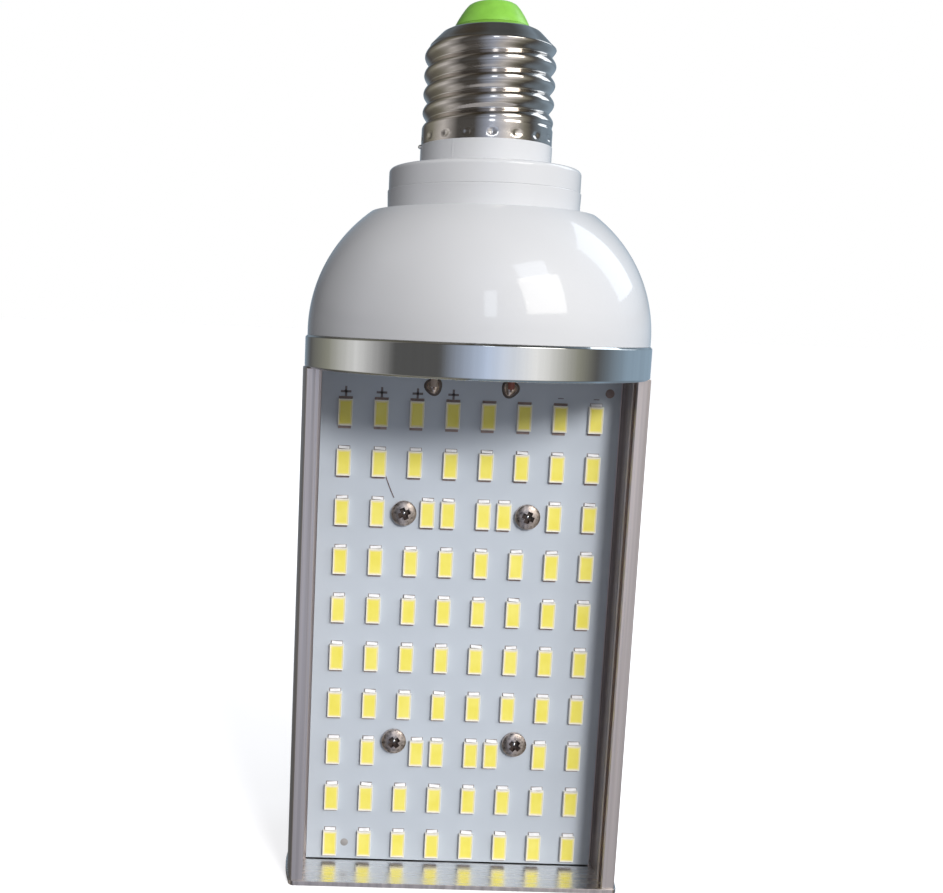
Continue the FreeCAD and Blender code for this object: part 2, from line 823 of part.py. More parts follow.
def make_neck():
    """Moulded neck: hub in the dome's hole, upper collar, neck and the spigot inside the shell."""
    body = new_body("neck_body")
    hub_bottom = f"({CLIP_TOP} - 2 * clip_thickness)"
    spigot_bore = f"({ROOT_INNER} - neck_spigot_wall)"
    eased = "upper_collar_edge * (1 - cos(45))"
    turn_solid(
        body,
        "neck_blank",
        [
            (HUB_BORE, hub_bottom),
            (HUB_RADIUS, hub_bottom),
            (HUB_RADIUS, f"{CLIP_TOP} - clip_thickness"),
            (HUB_GROOVE, f"{CLIP_TOP} - clip_thickness"),
            (HUB_GROOVE, CLIP_TOP),
            (HUB_RADIUS, CLIP_TOP),
            (HUB_RADIUS, COLLAR_BOTTOM),
            (UPPER_COLLAR, COLLAR_BOTTOM),
            (UPPER_COLLAR, f"{COLLAR_TOP} - upper_collar_edge"),
            (f"{UPPER_COLLAR} - {eased}", f"{COLLAR_TOP} - {eased}"),
            (f"{UPPER_COLLAR} - upper_collar_edge", COLLAR_TOP),
            (NECK_RADIUS, COLLAR_TOP),
            (NECK_RADIUS, NECK_TOP),
            (SKIRT_INNER, NECK_TOP),
            (SKIRT_INNER, f"{NECK_TOP} + skirt_height / 2"),
            (ROOT_INNER, f"{NECK_TOP} + skirt_height / 2"),
            (ROOT_INNER, SPIGOT_TOP),
            (spigot_bore, SPIGOT_TOP),
            (spigot_bore, COLLAR_TOP),
            (HUB_BORE, COLLAR_BOTTOM),
        ],
    )
    lug = new_sketch(body, "stop_lug_outline", height=f"{SEAM} - stop_height")
    draw_stop(lug, f"({STOP_OUTER} - hub_clearance)", "(stop_angle / 2)")
    pad(body, "stop_lug", lug, "stop_height + swivel_gap")
    return keep(body, "swivel_neck")


def make_swivel_clip():
    """Flat ring in the hub's groove, under the dome's collar plate."""
    body = new_body("swivel_clip_body")
    turn_solid(
        body,
        "swivel_clip_blank",
        [
            (HUB_GROOVE, f"{CLIP_TOP} - clip_thickness"),
            (f"{HUB_GROOVE} + clip_reach", f"{CLIP_TOP} - clip_thickness"),
            (f"{HUB_GROOVE} + clip_reach", CLIP_TOP),
            (HUB_GROOVE, CLIP_TOP),
        ],
    )
    return keep(body, "swivel_clip")


def shell_outline(inset):
    """The drawn shell's profile over the thread's crests, set in by the sheet's thickness."""
    top = f"{SHELL_TOP} - {inset} / 2"
    return [
        ("0", NECK_TOP),
        (f"crest_radius - {inset}", NECK_TOP),
        (f"crest_radius - {inset}", f"{top} - thread_top_drop"),
        (f"{ROOT} - {inset}", f"{top} - crown_drop"),
        (f"{ROOT} - crown_waist_step - {inset}", f"{top} - crown_waist_drop"),
        (f"{ROOT} - crown_edge_step - {inset}", f"{top} - crown_edge_drop"),
        (f"{INSULATOR_SEAT} - {inset}", SHELL_TOP),
        ("0", SHELL_TOP),
    ]


def shell_core(inset):
    """The skirt, and above it a barrel at the thread's root."""
    return [
        ("0", NECK_TOP),
        (f"crest_radius - {inset}", NECK_TOP),
        (f"crest_radius - {inset}", f"{NECK_TOP} + skirt_height - {inset}"),
        (f"{ROOT} - {inset}", f"{NECK_TOP} + skirt_height + skirt_slope - {inset}"),
        (f"{ROOT} - {inset}", SHELL_TOP),
        ("0", SHELL_TOP),
    ]


def thread_ridge(name, inset):
    """The right-hand rounded ridge, swept along a helix that starts inside the skirt."""
    climb = "shell_height - thread_lead_in - thread_run_out"
    helix = document.addObject("Part::Helix", f"{name}_helix")
    bind(helix, Pitch="thread_pitch", Height=climb, Radius=ROOT)
    first = f"({NECK_TOP} + thread_lead_in)"
    place(helix, z=first)
    section = document.addObject("Sketcher::SketchObject", f"{name}_section")
    section.Placement.Rotation = FreeCAD.Rotation(Vector(1, 0, 0), 90)
    half = [
        (f"{ROOT} - {inset} - shell_wall / 2", "thread_foot_width / 2"),
        (f"{ROOT} - {inset} + thread_flank", "thread_flank_width / 2"),
        (f"crest_radius - {inset} - thread_ease", "thread_crest_width / 2"),
    ]
    lower = [(x, f"{first} - {rise}") for x, rise in half]
    upper = [(x, f"{first} + {rise}") for x, rise in reversed(half)]
    draw_outline(section, lower + upper)
    sweep = document.addObject("Part::Sweep", f"{name}_ridge")
    sweep.Sections = [section]
    sweep.Spine = (helix, ["Edge1"])
    sweep.Solid = True
    sweep.Frenet = True
    return sweep


def shell_block(name, inset):
    """The solid inside one skin of the sheet: barrel and ridge, trimmed by the drawn outline."""
    solids = []
    for kind, points in (("core", shell_core(inset)), ("outline", shell_outline(inset))):
        body = new_body(f"{name}_{kind}")
        turn_solid(body, f"{name}_{kind}_blank", points)
        solids.append(body)
    core, outline = solids
    threaded = unite([core, thread_ridge(name, inset)], f"{name}_threaded")
    trimmed = document.addObject("Part::MultiCommon", f"{name}_block")
    trimmed.Shapes = [threaded, outline]
    return trimmed


def make_screw_shell():
    """Rolled sheet shell with a right-hand knuckle thread, a plain skirt and a drawn-in top."""
    blocks = [shell_block("shell_outside", "0"), shell_block("shell_inside", "shell_wall")]
    return keep(subtract(blocks[0], blocks[1:], "screw_shell_rolled"), "screw_shell")


def make_cap_insulator():
    """Green moulded plug: a cone above the shell's top edge and a skirt inside it."""
    body = new_body("cap_insulator_body")
    hole = "(rivet_radius + rivet_clearance)"
    shoulder = f"{INSULATOR_TOP} - insulator_shoulder_drop"
    inside = f"({INSULATOR_SEAT} - shell_wall - shell_clearance)"
    turn_solid(
        body,
        "cap_insulator_blank",
        [
            (hole, f"{SHELL_TOP} - insulator_flange"),
            (f"{inside} - insulator_flange", f"{SHELL_TOP} - insulator_flange"),
            (inside, f"{SHELL_TOP} - insulator_flange / 2"),
            (inside, SHELL_TOP),
            (INSULATOR_SEAT, SHELL_TOP),
            (f"{INSULATOR_SEAT} - insulator_waist_step", f"{SHELL_TOP} + insulator_waist_height"),
            (f"{INSULATOR_SEAT} - insulator_shoulder_step", shoulder),
            (f"{INSULATOR_SEAT} - insulator_top_step", INSULATOR_TOP),
            (hole, INSULATOR_TOP),
        ],
    )
    return keep(body, "cap_insulator")


def make_centre_contact():
    """Rivet with a domed head on the insulator and a shank through it."""
    body = new_body("centre_contact_body")
    turn_solid(
        body,
        "centre_contact_blank",
        [
            ("0", f"{SHELL_TOP} - rivet_reach"),
            ("rivet_radius", f"{SHELL_TOP} - rivet_reach"),
            ("rivet_radius", INSULATOR_TOP),
            ("contact_radius", INSULATOR_TOP),
            ("contact_radius", f"{INSULATOR_TOP} + contact_height / 3"),
            ("contact_radius * 0.7", f"{INSULATOR_TOP} + contact_height * 0.8"),
            ("contact_radius * 0.3", f"{INSULATOR_TOP} + contact_height"),
            ("0", f"{INSULATOR_TOP} + contact_height"),
        ],
    )
    return keep(body, "centre_contact")


# Driver inside the dome


def standoff_places():
    return [
        (f"standoff_circle * cos({angle})", f"standoff_circle * sin({angle})")
        for angle in STANDOFF_ANGLES
    ]


def make_driver_board():
    disc = new_rod("driver_disc", "driver_radius", "driver_thickness", z=DRIVER_BOTTOM)
    holes = [
        new_rod(
            f"driver_hole_{n}",
            "standoff_screw_shank + screw_clearance",
            "3 * driver_thickness",
            x,
            y,
            f"{DRIVER_BOTTOM} - driver_thickness",
        )
        for n, (x, y) in enumerate(standoff_places(), 1)
    ]
    return keep(subtract(disc, holes, "driver_board_drilled"), "driver_board")


def make_standoffs():
    """Three spacers between the cup's floor and the driver board, and a screw in each."""
    spacer = subtract(
        new_rod("standoff_rod", "standoff_radius", "standoff_height"),
        [new_rod("standoff_bore", "standoff_screw_shank", "standoff_height")],
        "standoff",
    )
    places = standoff_places()
    copies(spacer, "board_standoffs", [(x, y, FLOOR_TOP) for x, y in places])
    shank = "(driver_thickness + standoff_height - screw_clearance)"
    screw = make_screw("standoff_screw", "standoff_screw_shank", shank)
    copies(screw, "standoff_screws", [(x, y, DRIVER_TOP) for x, y in places])


def on_circle(angle, length="0", width="0"):
    """The corner that centres a block of that size on the component circle."""
    return (
        f"component_circle * cos({angle}) - {length} / 2",
        f"component_circle * sin({angle}) - {width} / 2",
        DRIVER_TOP,
    )


def make_transformer():
    """E cores in one block with two windows, and the winding round the centre leg."""
    core = new_box("core_block", "core_width", "core_depth", "core_height")
    window = "((core_width - core_centre) / 2 - core_leg)"
    windows = []
    for name, left in (("left", "core_leg"), ("right", f"core_leg + {window} + core_centre")):
        opening = new_box(
            f"core_window_{name}", window, "3 * core_depth", "core_height - 2 * core_leg"
        )
        windows.append(place(opening, left, "-core_depth", "core_leg"))
    block = subtract(core, windows, "core_cut")
    place(block, *on_circle(90, "core_width", "core_depth"))
    keep(block, "transformer_core")

    inner = "(core_centre / 2 + winding_gap)"
    coil_height = "(core_height - 2 * core_leg - 2 * winding_gap)"
    outer = f"({inner} + winding_build)"
    deep = "(core_depth / 2 + winding_gap + winding_build)"
    coil = new_box("coil_block", f"2 * {outer}", f"2 * {deep}", coil_height)
    bore = new_box("coil_bore", f"2 * {inner}", "core_depth + 2 * winding_gap", "core_height")
    place(bore, "winding_build", "winding_build", "-core_leg")
    winding = subtract(coil, [bore], "coil_cut")
    place(
        winding,
        f"component_circle * cos(90) - {outer}",
        f"component_circle * sin(90) - {deep}",
        f"{DRIVER_TOP} + core_leg + winding_gap",
    )
    keep(winding, "transformer_winding")


def make_components():
    """The driver's other parts, each standing on the board round the axis."""
    for label, angle, radius, height in (
        ("bulk_capacitor", 270, "bulk_radius", "bulk_height"),
        ("output_capacitor", 0, "output_radius", "output_height"),
    ):
        keep(new_rod(f"{label}_can", radius, height, *on_circle(angle)), label)
    for label, angle, length, width, height in (
        ("bridge_rectifier", 223, "bridge_length", "bridge_width", "bridge_height"),
        ("control_chip", 325, "chip_length", "chip_width", "chip_height"),
    ):
        block = new_box(f"{label}_case", length, width, height)
        keep(place(block, *on_circle(angle, length, width)), label)

    choke = new_body("filter_choke_body")
    turn_solid(
        choke,
        "filter_choke_blank",
        [
            ("0", "0"),
            ("choke_radius", "0"),
            ("choke_radius", "choke_flange"),
            ("choke_core", "choke_flange"),
            ("choke_core", "choke_height - choke_flange"),
            ("choke_radius", "choke_height - choke_flange"),
            ("choke_radius", "choke_height"),
            ("0", "choke_height"),
        ],
    )
    keep(place(choke, *on_circle(170)), "filter_choke")

    fuse_x, fuse_y, fuse_z = on_circle(35, "fuse_length")
    fuse = new_rod(
        "fuse_rod", "fuse_radius", "fuse_length", fuse_x, fuse_y, f"{fuse_z} + fuse_radius"
    )
    fuse.Placement.Rotation = FreeCAD.Rotation(Vector(0, 1, 0), 90)
    keep(fuse, "fuse_resistor")


def make_mains_leads():
    """Line lead on the axis to the rivet, and neutral lead bent out to the shell's wall."""
    foot = f"{DRIVER_TOP} + mains_lead_end_gap"
    rivet_end = f"({SHELL_TOP} - rivet_reach)"
    line = new_rod("line_lead_rod", "mains_lead_radius", f"{rivet_end} - ({foot})", z=foot)
    keep(line, "line_lead")

    offset = amount("neutral_offset")
    bend = amount("mains_lead_bend")
    bottom = amount(foot)
    level = amount(f"{SPIGOT_TOP} + 2 * mains_lead_radius")
    path = Part.makePolygon(
        [
            Vector(-offset, 0, bottom),
            Vector(-offset, 0, level - bend),
            Vector(-offset - bend, 0, level),
            Vector(-amount(ROOT_INNER), 0, level),
        ]
    )
    radius = amount("mains_lead_radius")
    ring = Part.Wire(Part.makeCircle(radius, Vector(-offset, 0, bottom), Vector(0, 0, 1)))
    neutral = document.addObject("Part::Feature", "neutral_lead_tube")
    neutral.Shape = path.makePipeShell([ring], True, False, 1)
    keep(neutral, "neutral_lead")


def make_end_screws():
    copies(make_sunk_screw("sunk_screw"), "end_plate_screws", [(x, y, "0") for x, y in PORTS])
    long_screw = make_screw("cup_screw", "screw_shank", "end_screw_length")
    copies(long_screw, "cup_screws", [(x, y, FLOOR_TOP) for x, y in PORTS])


make_end_plate()
make_heat_sink()
make_led_board()
make_thermal_pad()
make_led_rows()
make_board_screws()
make_end_screws()
make_cup_ring()
make_solder_joints()
make_led_leads()
make_dome()
make_neck()
make_swivel_clip()
make_screw_shell()
make_cap_insulator()
make_centre_contact()
make_driver_board()
make_standoffs()
make_transformer()
make_components()
make_mains_leads()
document.recompute()

for item in document.Objects:
    if {"Invalid", "Error"} & set(item.State):
        raise RuntimeError(f"{item.Label} is {item.State}")

os.makedirs("parts", exist_ok=True)
for item in parts:
    shape = item.Shape
    if shape.isNull() or not shape.isValid() or shape.Volume <= 0:
        raise RuntimeError(f"{item.Label} has no valid solid")
    shape.exportStep(f"parts/{item.Label}.step")
    print(item.Label, len(shape.Solids), round(shape.Volume, 2))
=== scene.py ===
import math
import random

import bmesh
import bpy
from mathutils import Matrix, Vector


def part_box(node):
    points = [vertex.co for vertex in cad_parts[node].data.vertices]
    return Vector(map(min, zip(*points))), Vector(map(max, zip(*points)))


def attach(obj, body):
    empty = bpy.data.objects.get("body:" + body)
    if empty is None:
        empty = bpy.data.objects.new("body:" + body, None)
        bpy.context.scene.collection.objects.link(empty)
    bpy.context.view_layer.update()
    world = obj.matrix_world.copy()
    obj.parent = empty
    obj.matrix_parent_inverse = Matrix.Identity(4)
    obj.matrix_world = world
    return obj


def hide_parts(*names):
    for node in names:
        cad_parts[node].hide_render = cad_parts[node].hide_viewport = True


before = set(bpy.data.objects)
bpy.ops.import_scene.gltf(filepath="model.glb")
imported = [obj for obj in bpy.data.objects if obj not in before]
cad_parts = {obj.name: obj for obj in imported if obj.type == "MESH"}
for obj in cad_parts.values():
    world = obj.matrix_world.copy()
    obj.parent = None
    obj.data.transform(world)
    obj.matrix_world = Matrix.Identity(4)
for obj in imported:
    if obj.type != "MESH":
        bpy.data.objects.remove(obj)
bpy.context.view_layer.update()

# A one-sided LED lamp, cap up, standing on its end plate.
# Lengths are in millimetres until a piece is finished.

MM = 0.001
IMAGE_WIDTH = 943
ROUND = 160
random.seed(7)


def corners(node):
    """The node's lowest and highest corners in millimetres."""
    low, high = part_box(node)
    return Vector(low) / MM, Vector(high) / MM


# Sizes taken from the frame

RING_LOW, RING_HIGH = corners("cup_ring")
DOME_RADIUS = corners("dome_housing")[1].x
NECK_LOW, NECK_HIGH = corners("swivel_neck")
SHELL_LOW, SHELL_HIGH = corners("screw_shell")
PLUG_TOP = corners("cap_insulator")[1].z
RIVET_LOW, RIVET_HIGH = corners("centre_contact")
BOARD_LOW, BOARD_HIGH = corners("led_board")
BOARD_FACE = BOARD_LOW.y

# Sizes of the moulded and turned pieces

RING_RADIUS = RING_HIGH.x
DOME_SKIRT = 1.1
DOME_TOP = 142.1
SHOULDER_RADIUS = 22.7
LOWER_COLLAR = 19.5
SEAM = 146.47
UPPER_COLLAR = NECK_HIGH.x
COLLAR_BOTTOM = 146.5
COLLAR_TOP = 150.9
NECK_RADIUS = 13.2
SHELL_RIM = SHELL_LOW.z
CREST = SHELL_HIGH.x
THREAD_DEPTH = 1.0
THREAD_PITCH = 3.629
SKIRT_HEIGHT = 3.2
SKIRT_FADE = 1.2
CREST_RISE = 1.24

# Sizes of the LED rows

PACKAGE_WIDTH = 3.1
COLUMNS = 8
SCREW_ROWS = (3, 8)
PAIRED_COLUMNS = (2, 5)
PAIR_OFFSET = 4.4


# Mesh helpers


def outline_points(steps):
    """Expands an outline: a pair is a corner, and a list is a centre, radius and two angles of an arc."""
    points = []
    for step in steps:
        if len(step) == 2:
            points.append(step)
            continue
        (x, z), radius, first, last, count = step
        for index in range(count + 1):
            angle = math.radians(first + (last - first) * index / count)
            points.append((x + radius * math.cos(angle), z + radius * math.sin(angle)))
    return points


def turned(steps, closed=True, segments=ROUND):
    """A solid of revolution about Z, from an outline of radius and height."""
    mesh = bmesh.new()
    verts = [mesh.verts.new((x, 0, z)) for x, z in outline_points(steps)]
    pairs = list(zip(verts, verts[1:]))
    if closed:
        pairs.append((verts[-1], verts[0]))
    edges = [mesh.edges.new(pair) for pair in pairs]
    bmesh.ops.spin(
        mesh,
        geom=verts + edges,
        axis=(0, 0, 1),
        cent=(0, 0, 0),
        steps=segments,
        angle=math.tau,
        use_merge=True,
    )
    bmesh.ops.remove_doubles(mesh, verts=mesh.verts, dist=1e-4)
    bmesh.ops.recalc_face_normals(mesh, faces=mesh.faces)
    return mesh


def sharp_edges(mesh, angle=30):
    limit = math.radians(angle)
    return [edge for edge in mesh.edges if edge.is_manifold and edge.calc_face_angle() > limit]


def ease_edges(mesh, width, segments=3, angle=30):
    """Rounds every sharp edge by the same small width."""
    bmesh.ops.bevel(
        mesh,
        geom=sharp_edges(mesh, angle),
        offset=width,
        offset_type="OFFSET",
        affect="EDGES",
        segments=segments,
        profile=0.5,
        material=-1,
        clamp_overlap=True,
    )
    return mesh


def softened(node, width):
    """A merged copy of a frame node in millimetres, with its sharp edges eased."""
    mesh = bmesh.new()
    mesh.from_mesh(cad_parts[node].data)
    bmesh.ops.scale(mesh, vec=(1 / MM,) * 3, verts=mesh.verts)
    bmesh.ops.remove_doubles(mesh, verts=mesh.verts, dist=1e-3)
    bmesh.ops.dissolve_limit(
        mesh, angle_limit=math.radians(0.5), verts=mesh.verts, edges=mesh.edges
    )
    return ease_edges(mesh, width)


def block(mesh, low, high, material=0):
    """Adds a box between two corners and returns its faces."""
    low, high = Vector(low), Vector(high)
    made = bmesh.ops.create_cube(mesh, size=1)["verts"]
    bmesh.ops.scale(mesh, vec=high - low, verts=made)
    bmesh.ops.translate(mesh, vec=(low + high) / 2, verts=made)
    faces = {face for vert in made for face in vert.link_faces}
    for face in faces:
        face.material_index = material
    return faces


def as_data(name, mesh):
    """Mesh data from a working mesh, which is freed."""
    data = bpy.data.meshes.new(name)
    mesh.to_mesh(data)
    mesh.free()
    return data


def linked(name, data):
    """A new object in the scene for some mesh, curve, light or camera data."""
    item = bpy.data.objects.new(name, data)
    bpy.context.scene.collection.objects.link(item)
    return item


def finish(name, mesh, materials, body="lamp_body", replaces=(), crease=35):
    """Turns a millimetre mesh into a piece of the lamp that rides on a body."""
    bmesh.ops.scale(mesh, vec=(MM,) * 3, verts=mesh.verts)
    data = as_data(name, mesh)
    for polygon in data.polygons:
        polygon.use_smooth = True
    data.set_sharp_from_angle(angle=math.radians(crease))
    for material in materials:
        data.materials.append(material)
    piece = linked(name, data)
    weighted = piece.modifiers.new("even_shading", "WEIGHTED_NORMAL")
    weighted.keep_sharp = True
    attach(piece, body)
    if replaces:
        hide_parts(*replaces)
    return piece


# Material helpers


def color_ramp(tree, value, stops):
    """Colours or greys along a value from 0 to 1."""
    node = tree.nodes.new("ShaderNodeValToRGB")
    elements = node.color_ramp.elements
    while len(elements) < len(stops):
        elements.new(0.5)
    for element, (position, color) in zip(elements, stops):
        element.position = position
        element.color = (*color, 1) if isinstance(color, tuple) else (color, color, color, 1)
    tree.links.new(value, node.inputs["Fac"])
    return node.outputs["Color"]


class Finish:
    """A material under construction: its shader, and the node tree that varies it."""

    def __init__(self, name, color, roughness, metallic=0.0, **sockets):
        self.material = bpy.data.materials.new(name)
        self.material.use_nodes = True
        self.tree = self.material.node_tree
        self.shader = self.tree.nodes["Principled BSDF"]
        self.color = color
        values = {"Base Color": (*color, 1), "Roughness": roughness, "Metallic": metallic}
        for socket, value in {**values, **sockets}.items():
            self.shader.inputs[socket].default_value = value
        self.place = self.tree.nodes.new("ShaderNodeTexCoord")

    def noise(self, stretch, detail=3.0):
        """A noise over the piece; stretch is its scale along each axis, per metre."""
        mapping = self.tree.nodes.new("ShaderNodeMapping")
        mapping.inputs["Scale"].default_value = stretch
        texture = self.tree.nodes.new("ShaderNodeTexNoise")
        texture.inputs["Scale"].default_value = 1.0
        texture.inputs["Detail"].default_value = detail
        self.tree.links.new(self.place.outputs["Object"], mapping.inputs["Vector"])
        self.tree.links.new(mapping.outputs["Vector"], texture.inputs["Vector"])
        return texture.outputs["Fac"]

    def tint(self, value, stops):
        self.tree.links.new(color_ramp(self.tree, value, stops), self.shader.inputs["Base Color"])
        return self

    def mottle(self, value, spread):
        """Varies the base colour by a share of itself."""
        dark = tuple(channel * (1 - spread) for channel in self.color)
        light = tuple(min(1, channel * (1 + spread)) for channel in self.color)
        return self.tint(value, [(0.3, dark), (0.7, light)])

    def rough(self, value, low, high):
        spread = color_ramp(self.tree, value, [(0.3, low), (0.7, high)])
        self.tree.links.new(spread, self.shader.inputs["Roughness"])
        return self

    def bump(self, value, strength, distance=0.0001):
        node = self.tree.nodes.new("ShaderNodeBump")
        node.inputs["Strength"].default_value = strength
        node.inputs["Distance"].default_value = distance
        self.tree.links.new(value, node.inputs["Height"])
        self.tree.links.new(node.outputs["Normal"], self.shader.inputs["Normal"])
        return self


def extruded_aluminium():
    """Mill finish with die lines along the lamp; its brownish tint stands in for the warm room the walls
    mirror, a painted reflection.
    """
    skin = Finish("extruded_aluminium", (0.64, 0.56, 0.525), 0.36, 1.0)
    lines = skin.noise((2600, 2600, 14), 4.0)
    streaks = skin.noise((700, 700, 7), 5.0)
    return skin.mottle(streaks, 0.22).rough(lines, 0.26, 0.42).bump(lines, 0.3).material


def turned_aluminium():
    """Polished ring with fine turning marks."""
    skin = Finish("turned_aluminium", (0.76, 0.76, 0.75), 0.09, 1.0)
    marks = skin.noise((30, 30, 5200), 4.0)
    streaks = skin.noise((420, 420, 12), 4.0)
    return skin.mottle(streaks, 0.05).rough(marks, 0.05, 0.12).bump(streaks, 0.1).material


def rolled_plate():
    """Bright sheet that mirrors the board above it."""
    skin = Finish("rolled_plate", (0.88, 0.87, 0.86), 0.14, 1.0)
    grain = skin.noise((40, 900, 40), 3.0)
    return skin.mottle(grain, 0.05).rough(grain, 0.2, 0.34).bump(grain, 0.08).material


def solder_mask():
    """White lacquer over the board."""
    skin = Finish("solder_mask", (0.52, 0.57, 0.635), 0.3)
    patches = skin.noise((70, 70, 70), 3.0)
    grain = skin.noise((2500, 2500, 2500), 2.0)
    return skin.mottle(patches, 0.03).bump(grain, 0.08).material


def glossy_moulding():
    """White plastic of the dome and the neck."""
    skin = Finish(
        "glossy_moulding",
        (0.63, 0.64, 0.66),
        0.38,
        **{"Specular IOR Level": 0.2, "Coat Weight": 1.0, "Coat Roughness": 0.07},
    )
    haze = skin.noise((45, 45, 45), 2.0)
    grain = skin.noise((1800, 1800, 1800), 2.0)
    return skin.mottle(haze, 0.015).bump(grain, 0.02).material


def nickel_plate():
    """Bright plated sheet of the screw shell."""
    skin = Finish("nickel_plate", (0.64, 0.59, 0.55), 0.12, 1.0)
    wear = skin.noise((160, 160, 420), 4.0)
    return skin.mottle(wear, 0.1).rough(wear, 0.07, 0.18).bump(wear, 0.06).material


def green_moulding():
    skin = Finish("green_moulding", (0.24, 0.56, 0.07), 0.3)
    grain = skin.noise((500, 500, 500), 3.0)
    return skin.mottle(grain, 0.06).bump(grain, 0.08).material


def phosphor(name, blue):
    """Yellow silicone that fills each package's window, paler where it thins out."""
    skin = Finish(name, (0.89, 0.80, blue), 0.45)
    cloud = skin.noise((260, 260, 260), 2.0)
    grain = skin.noise((6000, 6000, 6000), 2.0)
    skin.tint(cloud, [(0.3, (0.87, 0.77, blue * 0.8)), (0.7, (0.92, 0.83, blue * 1.25))])
    return skin.bump(grain, 0.15).material


def plain_plastic(name, color, roughness=0.5, spread=0.05):
    """Moulded or dipped plastic with a faint grain."""
    skin = Finish(name, color, roughness)
    grain = skin.noise((700, 700, 700), 3.0)
    return skin.mottle(grain, spread).bump(grain, 0.1).material


def plain_metal(name, color, roughness=0.3, spread=0.1, fineness=600, dents=0.1):
    skin = Finish(name, color, roughness, 1.0)
    grain = skin.noise((fineness,) * 3, 3.0)
    rough_low, rough_high = roughness * 0.7, roughness * 1.3
    skin.mottle(grain, spread).rough(grain, rough_low, rough_high)
    return skin.bump(grain, dents).material


ALUMINIUM = extruded_aluminium()
POLISHED = turned_aluminium()
PLATE = rolled_plate()
MASK = solder_mask()
MOULDING = glossy_moulding()
NICKEL = nickel_plate()
GREEN = green_moulding()
PHOSPHOR = phosphor("phosphor", 0.15)
PHOSPHOR_EDGE = phosphor("phosphor_edge", 0.36)
CASE = plain_plastic("package_case", (0.88, 0.85, 0.76), 0.4, 0.02)
# Solder of the tip rivet and the neck's bead; also a painted glint on the cone at each screw recess's
# floor.
SOLDER_AND_GLINT = plain_metal("bright_solder_and_painted_glint", (0.86, 0.86, 0.86), 0.16, 0.05)
# Darker solder of the beads on the board, and a dark ring at their feet.
DARKER_SOLDER = plain_metal("darker_solder", (0.60, 0.50, 0.45), 0.2, 0.25)
# Top solder of lit packages: pale like real tin, but matte white in place of bright metal, so its
# brightness is a painted sheen.
SHEEN_SOLDER = plain_plastic("painted_sheen_solder", (0.88, 0.88, 0.90), 0.2, 0.08)
PAD = plain_plastic("pad_rim", (0.27, 0.24, 0.24), 0.35, 0.2)
DARK_RING = plain_plastic("dark_bead_ring", (0.10, 0.075, 0.06), 0.35, 0.3)
# Painted shade and shadow under and around the LED packages; also the colour of a darker spot on the
# board.
PAINTED_SHADE_AND_SPOT = plain_plastic("painted_shade_and_spot", (0.29, 0.22, 0.205), 0.4, 0.2)
SCREW = plain_metal("plated_screw", (0.56, 0.48, 0.44), 0.36, 0.45, 1500, 0.6)
# Near black inside the screws' cross recesses: painted shade.
RECESS_SHADE = plain_plastic("painted_recess_shade", (0.055, 0.04, 0.035), 0.5, 0.3)
INK = plain_plastic("dark_ink", (0.19, 0.17, 0.18), 0.6, 0.2)
THREAD = plain_plastic("dark_thread", (0.17, 0.115, 0.11), 0.7, 0.2)
BARE_EDGE = plain_metal("board_edge", (0.55, 0.54, 0.53), 0.4)
FIDUCIAL = plain_plastic("grey_fiducial", (0.34, 0.33, 0.33), 0.5)
PALE_LEAD = plain_plastic("pale_insulation", (0.52, 0.42, 0.36), 0.45)
RED_LEAD = plain_plastic("red_insulation", (0.36, 0.12, 0.09), 0.45)
GREY_PAD = plain_plastic("grey_pad", (0.32, 0.34, 0.36), 0.8)
CIRCUIT = plain_plastic("circuit_green", (0.03, 0.16, 0.06), 0.35, 0.15)
NYLON = plain_plastic("nylon", (0.72, 0.72, 0.68), 0.5)
FERRITE = plain_plastic("ferrite", (0.06, 0.06, 0.065), 0.55, 0.2)
TAPE = plain_plastic("winding_tape", (0.66, 0.47, 0.05), 0.4, 0.1)
SLEEVE = plain_plastic("black_sleeve", (0.02, 0.02, 0.024), 0.28, 0.2)
EPOXY = plain_plastic("black_epoxy", (0.025, 0.025, 0.025), 0.6, 0.2)
CLIP_STEEL = plain_metal("spring_steel", (0.45, 0.45, 0.47), 0.35)

CARRIED = {
    "thermal_pad": GREY_PAD,
    "negative_lead": PALE_LEAD,
    "positive_lead": RED_LEAD,
    "end_plate_screws": SCREW,
    "cup_screws": SCREW,
    "swivel_clip": CLIP_STEEL,
    "driver_board": CIRCUIT,
    "board_standoffs": NYLON,
    "standoff_screws": SCREW,
    "transformer_core": FERRITE,
    "transformer_winding": TAPE,
    "bulk_capacitor": SLEEVE,
    "output_capacitor": SLEEVE,
    "bridge_rectifier": EPOXY,
    "control_chip": EPOXY,
    "filter_choke": FERRITE,
    "fuse_resistor": CIRCUIT,
    "line_lead": SLEEVE,
    "neutral_lead": PALE_LEAD,
}
for node, material in CARRIED.items():
    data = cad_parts[node].data
    data.materials.clear()
    data.materials.append(material)


# Body


def make_heat_sink():
    mesh = softened("heat_sink", 0.12)
    return finish("sink_extrusion", mesh, [ALUMINIUM], replaces=["heat_sink"])


def make_end_plate():
    mesh = softened("end_plate", 0.1)
    for face in mesh.faces:
        face.material_index = 0 if face.normal.z > 0.9 else 1
    return finish(
        "foot_plate", mesh, [PLATE, ALUMINIUM], replaces=["end_plate"]
    )


def make_cup_ring():
    inner = RING_RADIUS - 2.0
    floor_top = RING_LOW.z + 2.2
    mesh = turned(
        [
            (0, RING_LOW.z),
            (RING_RADIUS - 0.4, RING_LOW.z),
            (RING_RADIUS, RING_LOW.z + 0.4),
            (RING_RADIUS, RING_HIGH.z - 0.4),
            (RING_RADIUS - 0.4, RING_HIGH.z),
            (inner, RING_HIGH.z),
            (inner, floor_top),
            (0, floor_top),
        ],
        closed=False,
    )
    ease_edges(mesh, 0.08)
    return finish("rim_ring", mesh, [POLISHED], replaces=["cup_ring"])


# Light engine


